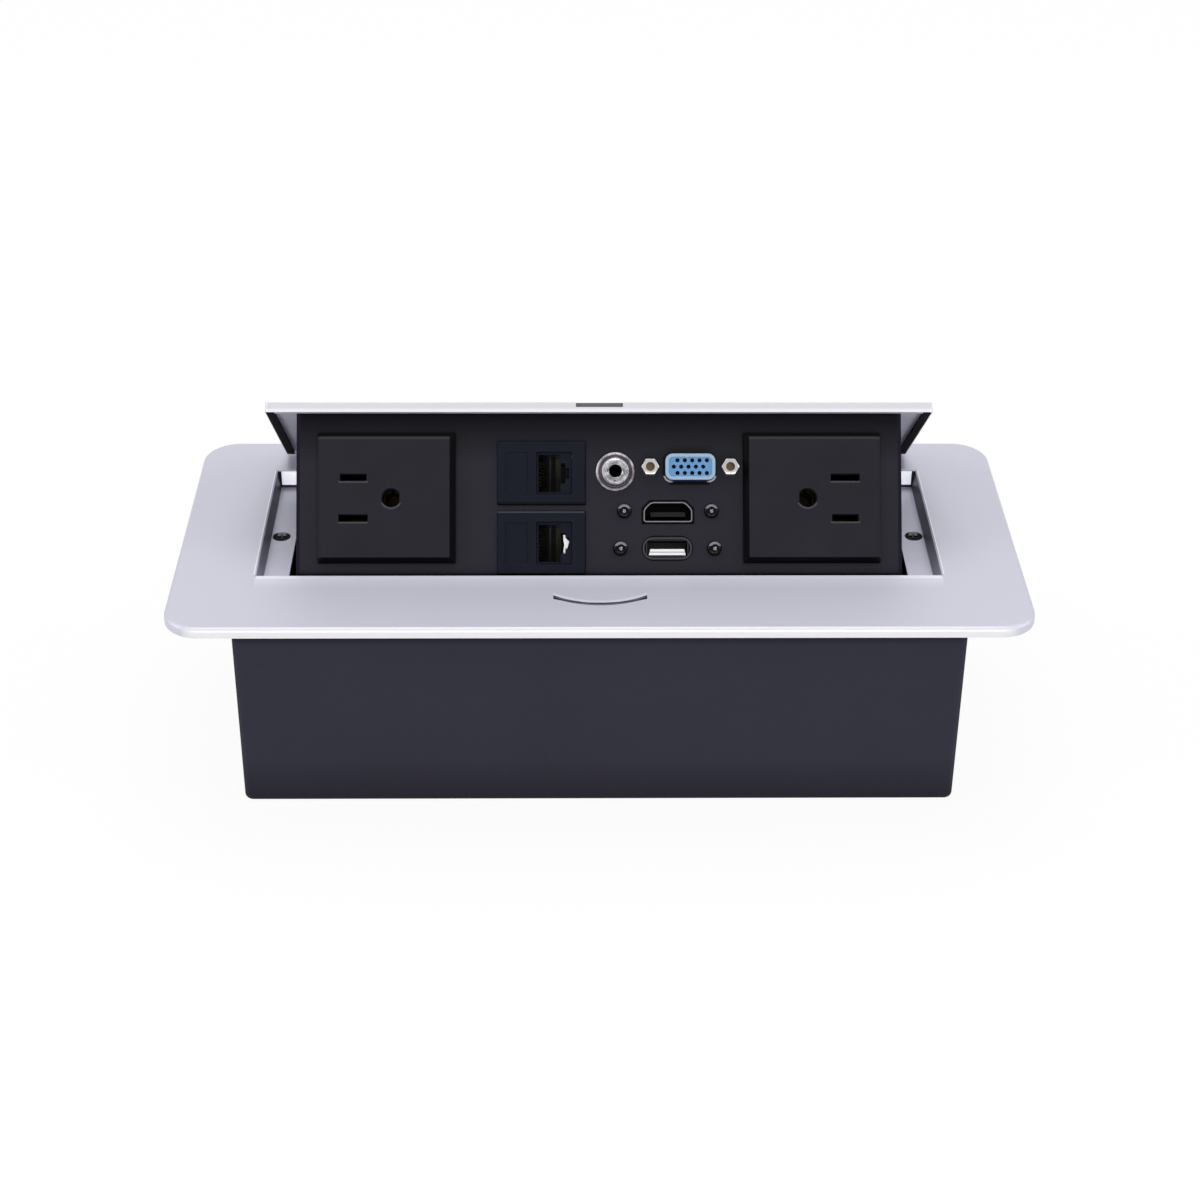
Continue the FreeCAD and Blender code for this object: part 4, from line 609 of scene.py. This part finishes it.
NUT = [(3.05, 0.55), (4.7, 0.55), (4.7, 1.9), (4.55, 2.35), (4.2, 2.7), (3.9, 2.75), (3.8, 2.5), (3.65, 2.45),
       (3.5, 2.5), (3.4, 2.75), (3.05, 2.75)]
SLEEVE = [(1.8, -1.4), (3.0, -1.4), (3.0, 2.95), (2.85, 3.2), (2.6, 3.2), (2.35, 2.85), (1.8, 2.5)]
BODY_FRONT, BODY_REACH, BODY_SIZE, BODY_ROUND = 1.5, 16.4, 9.2, 1.0
BODY_BORE, BORE_DEPTH, BORE_PAST = 1.8, 14.0, 2.0


def turned(profile, closed=True):
    """A closed outline of (radius, height) points, turned about the line straight out of the panel"""
    shape = bmesh.new()
    points = [shape.verts.new((radius, -height, 0)) for radius, height in profile]
    lines = [shape.edges.new((points[i - 1], points[i])) for i in range(0 if closed else 1, len(points))]
    bmesh.ops.spin(shape, geom=points + lines, cent=(0, 0, 0), axis=(0, 1, 0), angle=math.tau,
                   steps=TURNED_STEPS, use_merge=True)
    bmesh.ops.remove_doubles(shape, verts=shape.verts[:], dist=MERGE_REACH)
    bmesh.ops.dissolve_degenerate(shape, edges=shape.edges[:], dist=MERGE_REACH)
    bmesh.ops.recalc_face_normals(shape, faces=shape.faces[:])
    return shape


def rod(radius, low, high):
    """A round bar between two heights"""
    return turned([(0, low), (radius, low), (radius, high), (0, high)], False)


def block(size, middle, round_width=0.0):
    """A box of a size about its middle, with a round of some width on its long edges"""
    shape = bmesh.new()
    bmesh.ops.create_cube(shape, size=1.0)
    bmesh.ops.scale(shape, vec=size, verts=shape.verts[:])
    if round_width:
        along = [edge for edge in shape.edges
                 if abs(edge.verts[0].co.y - edge.verts[1].co.y) > MERGE_REACH]
        bmesh.ops.bevel(shape, geom=along, offset=round_width, offset_type="OFFSET", affect="EDGES",
                        segments=4, profile=0.5, material=-1)
    bmesh.ops.translate(shape, vec=middle, verts=shape.verts[:])
    return shape


def carved(shape, *cutters):
    """A shape with other closed shapes cut out of it"""
    things = []
    for source in (shape,) + cutters:
        mesh = bpy.data.meshes.new("carved")
        source.to_mesh(mesh)
        source.free()
        things.append(bpy.data.objects.new("carved", mesh))
        bpy.context.scene.collection.objects.link(things[-1])
    for cutter in things[1:]:
        cut = things[0].modifiers.new("cut", "BOOLEAN")
        cut.operation = "DIFFERENCE"
        cut.solver = "EXACT"
        cut.object = cutter
    bpy.context.view_layer.update()
    result = bmesh.new()
    result.from_object(things[0], bpy.context.evaluated_depsgraph_get())
    for thing in things:
        mesh = thing.data
        bpy.data.objects.remove(thing)
        bpy.data.meshes.remove(mesh)
    return result


def repeated(shape, places):
    """One shape at each of several (across, down) places on the panel"""
    mesh = bpy.data.meshes.new("repeated")
    shape.to_mesh(mesh)
    shape.free()
    whole = bmesh.new()
    for across, down in places:
        start = len(whole.verts)
        whole.from_mesh(mesh)
        whole.verts.ensure_lookup_table()
        bmesh.ops.translate(whole, vec=(across, 0, -down), verts=whole.verts[start:])
    bpy.data.meshes.remove(mesh)
    return whole


def fit(name, shape, finish, slot_name, *replaced):
    """Lay a shape on the panel as one piece of the tray, in place of CAD nodes"""
    shape.transform(on_panel @ Matrix.Scale(0.001, 4))
    mesh = bpy.data.meshes.new(name)
    shape.to_mesh(mesh)
    shape.free()
    mesh.shade_smooth()
    mesh.set_sharp_from_angle(angle=SHARP_ANGLE)
    mesh.materials.append(finish.material)
    thing = bpy.data.objects.new(name, mesh)
    bpy.context.scene.collection.objects.link(thing)
    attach(thing, "tray")
    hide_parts(*replaced)


turned_metal = Finish("turned nickel", NICKEL_LIGHT, 0.3, Metallic=0.8)
jack_across = turned_metal.along((1, 0, 0), (JACK_PLACE[0] / 1000, 0, 0))
jack_drop = turned_metal.along(panel_down, panel_origin) - JACK_PLACE[1] / 1000
jack_span = jack_across * jack_across + jack_drop * jack_drop
jack_cloud = turned_metal.noise(0.0021, 2.0).between(CLOUD_LOW, CLOUD_HIGH)
# Painted light and shade: the washer's rim, the nut's side, the nut's face and the bore each get a tone of
# their own.
in_rings = [jack_span.below(radius ** 2) for radius in RING_RADII]
# Painted shade on the lower side of the washer and nut.
jack_lower_shade = jack_drop.between(LOW_FROM, LOW_TO) * LOW_SHARE * jack_span.above(RING_RADII[2] ** 2)
turned_metal.feed("Base Color", turned_metal.painted(
    turned_metal.tint(jack_cloud, RIM_PALE, RIM_BRIGHT), (in_rings[0], NUT_SIDE_SHADE),
    (in_rings[1], turned_metal.tint(jack_cloud, NUT_DARK, NUT_BRIGHT)), (in_rings[2], RING_SHADE),
    (jack_lower_shade, LOWER_SIDE_SHADE)))
turned_metal.feed("Roughness", 0.22 + 0.16 * jack_cloud)
sound_jack_body = block((BODY_SIZE, BODY_REACH - BODY_FRONT, BODY_SIZE),
                        (0, (BODY_REACH + BODY_FRONT) / 2, 0), BODY_ROUND)
sound_jack_body = carved(sound_jack_body, rod(BODY_BORE, -BORE_DEPTH, BORE_PAST))
fit("sound_jack_washer", repeated(turned(WASHER), [JACK_PLACE]), turned_metal, "nickel", "audio_washer")
fit("sound_jack_nut", repeated(turned(NUT), [JACK_PLACE]), turned_metal, "nickel", "audio_nut")
fit("sound_jack_sleeve", repeated(turned(SLEEVE), [JACK_PLACE]), turned_metal, "nickel", "audio_jack")
fit("sound_jack_body", repeated(sound_jack_body, [JACK_PLACE]), moulded, "socket_black", "audio_jack")

# The video port is a blue insulator with fifteen holes in a nickel-plated steel shell, between two
# hexagon posts that are tapped for the plug's screws. The insulator's rim has a painted highlight and its
# holes and sides are painted dark as shade, the posts' bores are painted brown as shade, and the shell is
# painted black as shade except at its lower corners.
VIDEO_PLACE = (28.3, 17.03)
VIDEO_SIZE, VIDEO_RISE, VIDEO_BACK, VIDEO_CORNER = (15.6, 8.2), 4.2, 5.5, 2.3
RIM_WIDTH, RIM_HEIGHT, RIM_ROUND, FACE_SKIN, RIM_SKIN = 1.0, 0.3, 0.22, 0.1, 0.06
PIN_PITCH, PIN_STAGGER, PIN_RADIUS, PIN_DEPTH, CUT_PAST = (2.29, 1.98), 0.25, 0.66, 3.2, 1.0
BLUE_DARK, BLUE_LIGHT, BLUE_RIM_HIGHLIGHT, BLUE_HOLE_SHADE = (82, 124, 168), (94, 136, 178), (134, 160, 182), (22, 42, 88)
POST_SPACING, POST_RADIUS, POST_RISE, POST_BORE, BORE_FROM = 24.99, 2.75, 4.6, 1.35, 1.6
SHANK_RADIUS, SHANK_BACK, CROWN_BLOCK, CROWN_MIDDLE = 1.25, 4.7, (12, 12, 12), (0, -2, 0)
POST_CROWN = [(0, -3.2), (4.0, -3.2), (4.0, 3.6), (2.35, 4.6), (0, 4.6)]
BORE_SHADE, THREAD_REACH = (104, 88, 72), 1.404
VIDEO_SHELL_SHADE, CORNER_FROM, CORNER_TO, CORNER_DOWN = (7, 7, 8), 0.0052, 0.0062, 2.6


def oblong(width, height):
    """The corners of an upright rectangle about the middle, as (across, up) points"""
    wide, tall = width / 2, height / 2
    return [(-wide, -tall), (wide, -tall), (wide, tall), (-wide, tall)]


def outlined(outline, rounding, segments, high):
    """A face from (across, up) points with rounded corners, at a height over the panel"""
    shape = bmesh.new()
    shape.faces.new([shape.verts.new((across, -high, up)) for across, up in outline])
    bmesh.ops.bevel(shape, geom=shape.verts[:], offset=rounding, offset_type="OFFSET", affect="VERTICES",
                    segments=segments, profile=0.5, material=-1)
    return shape


def deepened(shape, depth):
    """The faces of a flat shape, given depth toward the panel's back"""
    raised = bmesh.ops.extrude_face_region(shape, geom=shape.faces[:])
    moved = [item for item in raised["geom"] if isinstance(item, bmesh.types.BMVert)]
    bmesh.ops.translate(shape, vec=(0, depth, 0), verts=moved)
    bmesh.ops.recalc_face_normals(shape, faces=shape.faces[:])
    return shape


def plate_of(outline, rounding, low, high):
    """A solid plate of an outline with rounded corners, between two heights"""
    return deepened(outlined(outline, rounding, 6, high), high - low)


def front_of(shape):
    """The face that lies furthest out of the panel"""
    return min(shape.faces, key=lambda face: face.calc_center_median().y)


insulator = plate_of(oblong(*VIDEO_SIZE), VIDEO_CORNER, -VIDEO_BACK, VIDEO_RISE)
bmesh.ops.bevel(insulator, geom=front_of(insulator).edges[:], offset=RIM_ROUND, offset_type="OFFSET",
                affect="EDGES", segments=3, profile=0.5, material=-1)
video_front = front_of(insulator)
bmesh.ops.inset_region(insulator, faces=[video_front], thickness=RIM_WIDTH - RIM_ROUND,
                       use_even_offset=True)
bmesh.ops.inset_region(insulator, faces=[video_front], thickness=RIM_HEIGHT / 2, depth=-RIM_HEIGHT,
                       use_even_offset=True)
pin = rod(PIN_RADIUS, VIDEO_RISE - PIN_DEPTH, VIDEO_RISE + CUT_PAST)
pin_places = [((column - 2 + (-PIN_STAGGER if row == 1 else PIN_STAGGER)) * PIN_PITCH[0],
               (row - 1) * PIN_PITCH[1]) for row in range(3) for column in range(5)]
insulator = carved(insulator, repeated(pin, pin_places))

blue = Finish("blue plastic", BLUE_LIGHT, 0.42, Specular_IOR_Level=0.3)
blue_out = blue.along(panel_out, panel_origin)
# Painted highlight on the insulator's raised rim, and painted shade in its holes and on its sides.
blue_face = blue_out.above((VIDEO_RISE - RIM_HEIGHT - FACE_SKIN) / 1000)
rim_highlight = blue_out.above((VIDEO_RISE - RIM_HEIGHT + RIM_SKIN) / 1000)
blue_colour = blue.tint(blue_face, BLUE_HOLE_SHADE, blue.tint(blue.noise(0.004, 2.0), BLUE_DARK, BLUE_LIGHT))
blue.feed("Base Color", blue.tint(rim_highlight, blue_colour, BLUE_RIM_HIGHLIGHT))
blue.feed("Roughness", 0.36 + 0.1 * blue.noise(0.001, 2.0))
fit("video_port_insulator", repeated(insulator, [VIDEO_PLACE]), blue, "blue_plastic", "vga_insulator")

post = bmesh.new()
bmesh.ops.create_cone(post, cap_ends=True, segments=6, radius1=POST_RADIUS, radius2=POST_RADIUS,
                      depth=POST_RISE, matrix=Matrix.Translation((0, -POST_RISE / 2, 0))
                      @ Matrix.Rotation(math.radians(90), 4, "X") @ Matrix.Rotation(math.radians(30), 4, "Z"))
crown = carved(block(CROWN_BLOCK, CROWN_MIDDLE), turned(POST_CROWN, False))
post = carved(post, crown, rod(POST_BORE, BORE_FROM, POST_RISE + CUT_PAST))
shank = rod(SHANK_RADIUS, -SHANK_BACK, 0.0)
posts = [(VIDEO_PLACE[0] + side * POST_SPACING / 2, VIDEO_PLACE[1]) for side in (-1, 1)]
post_metal = Finish("plated post", NICKEL_LIGHT, 0.24, Metallic=0.85)
post_metal.feed("Roughness", 0.18 + 0.14 * post_metal.noise(0.001, 3.0))
# Painted shade: the tapped bores are painted dark brown.
post_across = post_metal.along((1, 0, 0), (VIDEO_PLACE[0] / 1000, 0, 0))
post_bore = abs(abs(post_across) - POST_SPACING / 2000)
post_drop = post_metal.along(panel_down, panel_origin) - VIDEO_PLACE[1] / 1000
in_bore = (post_bore * post_bore + post_drop * post_drop).below((THREAD_REACH / 1000) ** 2)
post_colour = post_metal.tint(post_metal.noise(0.002, 2.0), NICKEL_DARK, NICKEL_LIGHT)
post_metal.feed("Base Color", post_metal.tint(in_bore, post_colour, BORE_SHADE))
fit("video_port_posts", repeated(post, posts), post_metal, "nickel", "vga_jackscrews")
fit("video_port_shanks", repeated(shank, posts), post_metal, "nickel", "vga_jackscrews")
video_metal = Finish("video port shell", NICKEL_LIGHT, 0.3, Metallic=0.5, Specular_IOR_Level=0.15)
# Painted shade: the shell is painted black, and less metallic, except at its lower corners.
shell_side = abs(video_metal.along((1, 0, 0), (VIDEO_PLACE[0] / 1000, 0, 0)))
shell_low = video_metal.along(panel_down, panel_origin).above((VIDEO_PLACE[1] + CORNER_DOWN) / 1000)
shell_corner = shell_side.between(CORNER_FROM, CORNER_TO) * shell_low
video_metal.feed("Base Color", video_metal.tint(shell_corner, VIDEO_SHELL_SHADE, NICKEL_DARK))
video_metal.feed("Metallic", 0.1 + 0.6 * shell_corner)
dress(video_metal, 0, "vga_shell")

# A thin bright sheet, shaped like the glint that shows in the notch beside the contacts of the lower data
# jack, stands there as a painted highlight.
GLINT_OUTLINE = [(-11.3, -37.9), (-11.3, -39.6), (-11.0, -41.2), (-11.3, -42.9), (-11.2, -44.3),
                  (-10.5, -44.2), (-10.2, -42.7), (-9.9, -41.6), (-9.4, -40.1), (-10.3, -39.3),
                  (-10.7, -38.1)]
GLINT_LOW, GLINT_HIGH, GLINT_ROUND = -0.9, -0.5, 0.1
GLINT_DARK, GLINT_LIGHT = (206, 206, 210), (236, 236, 240)
# Painted highlight: a bright sheet shaped like the glint in the lower jack's notch.
glint_sheet = Finish("jack glint", GLINT_LIGHT, 0.35, Specular_IOR_Level=0.5)
glint_colour = glint_sheet.tint(glint_sheet.noise(0.0012, 2.0), GLINT_DARK, GLINT_LIGHT)
glint_sheet.feed("Base Color", glint_colour)
jack_glint = plate_of(GLINT_OUTLINE, GLINT_ROUND, GLINT_LOW, GLINT_HIGH)
fit("data_jack_glint", jack_glint, glint_sheet, "nickel")

# The display port has a thin steel shell with two bevelled corners in a black carrier. Only the shell's
# rim is bright: inside it the shell is painted dark as shade, and the contact tongue is in the dark.
DISPLAY_PLACE = (21.4, 30.93)
DISPLAY_SIZE, DISPLAY_BEVEL, DISPLAY_ROUND, SHELL_WALL = (15.2, 6.3), 2.3, 0.9, 0.34
DISPLAY_RIM, DISPLAY_BACK = 0.5, 11.5
SHELL_BRIGHT, DISPLAY_SHELL_SHADE = (122, 121, 123), (12, 12, 14)
CARRIER = (16, 16, 18)


def shell_of(outline, rounding, wall, low, high):
    """A thin wall on the inside of an outline, between two heights"""
    shape = outlined(outline, rounding, 5, high)
    middle = shape.faces[:][0]
    bmesh.ops.inset_region(shape, faces=[middle], thickness=wall, use_boundary=True, use_even_offset=True)
    bmesh.ops.delete(shape, geom=[middle], context="FACES_ONLY")
    return deepened(shape, high - low)


wide, tall = DISPLAY_SIZE[0] / 2, DISPLAY_SIZE[1] / 2
display_outline = [(-wide, -tall), (wide, -tall), (wide, tall - DISPLAY_BEVEL), (wide - DISPLAY_BEVEL, tall),
                   (-wide + DISPLAY_BEVEL, tall), (-wide, tall - DISPLAY_BEVEL)]
shell_metal = Finish("shell rim", SHELL_BRIGHT, 0.3, Metallic=0.7)
# Painted shade: the shell below its rim is painted dark and less metallic.
shell_rim = shell_metal.along(panel_out, panel_origin).above((DISPLAY_RIM - RIM_SKIN) / 1000)
shell_metal.feed("Base Color", shell_metal.tint(shell_rim, DISPLAY_SHELL_SHADE, SHELL_BRIGHT))
shell_metal.feed("Roughness", 0.26 + 0.14 * shell_metal.noise(0.001, 2.0))
shell_metal.feed("Metallic", 0.2 + 0.5 * shell_rim)
display_shell = shell_of(display_outline, DISPLAY_ROUND, SHELL_WALL, -DISPLAY_BACK, DISPLAY_RIM)
fit("display_port_shell", repeated(display_shell, [DISPLAY_PLACE]), shell_metal, "nickel", "hdmi_shell")
carrier = Finish("port carrier", CARRIER, 0.55, Specular_IOR_Level=0.15)
carrier.feed("Roughness", 0.48 + 0.14 * carrier.noise(0.001, 2.0))
dress(carrier, 0, "hdmi_carrier", "hdmi_tongue")

# The charging port has a shell behind the panel's rounded slot, painted dark as shade, and a white tongue in
# its lower half, wider at the foot, with a seam across it. A thin ring lines the slot, a little lighter than
# the black round it, as a painted highlight on the slot's edge.
CHARGE_PLACE = (21.2, 42.28)
RING_SIZE, RING_CORNER, RING_WALL, RING_DEPTH = (15.26, 6.86), 3.08, 0.42, 1.5
TONGUE_FOOT, TONGUE_HEAD, TONGUE_LOW, TONGUE_HIGH = 11.6, 10.6, -2.1, -0.2
TONGUE_FRONT, TONGUE_BACK, TONGUE_ROUND, SEAM_REACH = 0.5, 11.1, 0.2, 0.00016
WHITE_DARK, WHITE_LIGHT, SEAM = (208, 208, 211), (222, 222, 224), (140, 140, 143)
SLOT_EDGE_HIGHLIGHT, CHARGE_SHELL_SHADE = (44, 43, 49), (26, 26, 30)
# Painted highlight: a thin ring, a little lighter than the black round it, stands for the light on the slot's
# edge.
ring = Finish("slot edge highlight", SLOT_EDGE_HIGHLIGHT, 0.3, Specular_IOR_Level=0.5)
ring.feed("Roughness", 0.24 + 0.14 * ring.noise(0.001, 2.0))
slot_ring = shell_of(oblong(*RING_SIZE), RING_CORNER, RING_WALL, -RING_DEPTH, 0.0)
fit("charging_port_edge_highlight", repeated(slot_ring, [CHARGE_PLACE]), ring, "socket_black")
tongue = plate_of([(-TONGUE_FOOT / 2, TONGUE_LOW), (TONGUE_FOOT / 2, TONGUE_LOW),
                   (TONGUE_HEAD / 2, TONGUE_HIGH), (-TONGUE_HEAD / 2, TONGUE_HIGH)],
                  TONGUE_ROUND, -TONGUE_BACK, -TONGUE_FRONT)
white = Finish("white plastic", WHITE_LIGHT, 0.4)
seam_down = (CHARGE_PLACE[1] - (TONGUE_LOW + TONGUE_HIGH) / 2) / 1000
on_seam = white.along(panel_down, panel_origin).near(seam_down, SEAM_REACH)
white_colour = white.tint(white.noise(0.003, 2.0), WHITE_DARK, WHITE_LIGHT)
white.feed("Base Color", white.tint(on_seam, white_colour, SEAM))
white.feed("Roughness", 0.34 + 0.12 * white.noise(0.001, 2.0))
fit("charging_port_tongue", repeated(tongue, [CHARGE_PLACE]), white, "white_plastic", "usb_tongue")
# Painted shade: the charging port's shell is coloured dark, as the shade inside the port.
shaded_shell = Finish("charging shell in shade", CHARGE_SHELL_SHADE, 0.4, Metallic=0.4)
shaded_shell.feed("Roughness", 0.34 + 0.14 * shaded_shell.noise(0.001, 2.0))
dress(shaded_shell, 0, "usb_shell")
dress(carrier, 0, "usb_carrier")

# Four pan-head screws hold the two lower ports to the panel. They are blacked steel with domed heads and
# a crossed recess, turned and then struck. Each head has a painted highlight in a crescent at its top edge
# and a painted glint in its middle.
DISPLAY_SCREWS, CHARGE_SCREWS = (13.65, -0.3), (14.7, 0.1)
PAN_HEAD = [(0, -5.5), (1.2, -5.5), (1.2, 0.0), (2.3, 0.0), (2.3, 0.3), (2.2, 0.7), (1.9, 1.05), (1.4, 1.28),
            (0.7, 1.38), (0, 1.4)]
RECESS_LENGTH, RECESS_WIDTH, RECESS_FLOOR, RECESS_TALL = 2.5, 0.5, 0.55, 2.0
GLOSS_BLACK, CRESCENT_HIGHLIGHT, CENTRE_GLINT = (4, 4, 5), (118, 118, 126), (176, 176, 182)
CRESCENT_REACH, CRESCENT_FROM, CENTRE_GLINT_REACH = (0.00135, 0.00215), 0.0008, 0.00055

screw_places = [(place[0] + side * shift[0], place[1] + shift[1])
                for place, shift in ((DISPLAY_PLACE, DISPLAY_SCREWS), (CHARGE_PLACE, CHARGE_SCREWS))
                for side in (-1, 1)]
upper_down, lower_down = screw_places[0][1] / 1000, screw_places[2][1] / 1000
upper_side, lower_side = DISPLAY_SCREWS[0] / 1000, CHARGE_SCREWS[0] / 1000
gloss = Finish("gloss blacked steel", GLOSS_BLACK, 0.16, Specular_IOR_Level=0.1)
gloss.feed("Roughness", 0.12 + 0.14 * gloss.noise(0.0009, 2.0))
gloss_down = gloss.along(panel_down, panel_origin)
in_lower = gloss_down.above((DISPLAY_PLACE[1] + CHARGE_PLACE[1]) / 2000)
gloss_side = (abs(gloss.along((1, 0, 0)) - DISPLAY_PLACE[0] / 1000)
              - (upper_side + (lower_side - upper_side) * in_lower))
gloss_drop = gloss_down - upper_down - (lower_down - upper_down) * in_lower
gloss_span = gloss_side * gloss_side + gloss_drop * gloss_drop
# Painted highlight: a crescent on the upper edge of each head.
crescent_mask = (gloss_span.above(CRESCENT_REACH[0] ** 2) * gloss_span.below(CRESCENT_REACH[1] ** 2)
             * gloss_drop.below(-CRESCENT_FROM))
gloss_colour = gloss.tint(crescent_mask, GLOSS_BLACK, CRESCENT_HIGHLIGHT)
# Painted glint in the middle of each head.
gloss.feed("Base Color", gloss.tint(gloss_span.below(CENTRE_GLINT_REACH ** 2), gloss_colour, CENTRE_GLINT))
recess_middle = (0, -(RECESS_FLOOR + RECESS_TALL / 2), 0)
pan_head = carved(turned(PAN_HEAD, False),
                  block((RECESS_LENGTH, RECESS_TALL, RECESS_WIDTH), recess_middle),
                  block((RECESS_WIDTH, RECESS_TALL, RECESS_LENGTH), recess_middle))
fit("port_pan_screws", repeated(pan_head, screw_places), gloss, "black_screw", "port_screws")
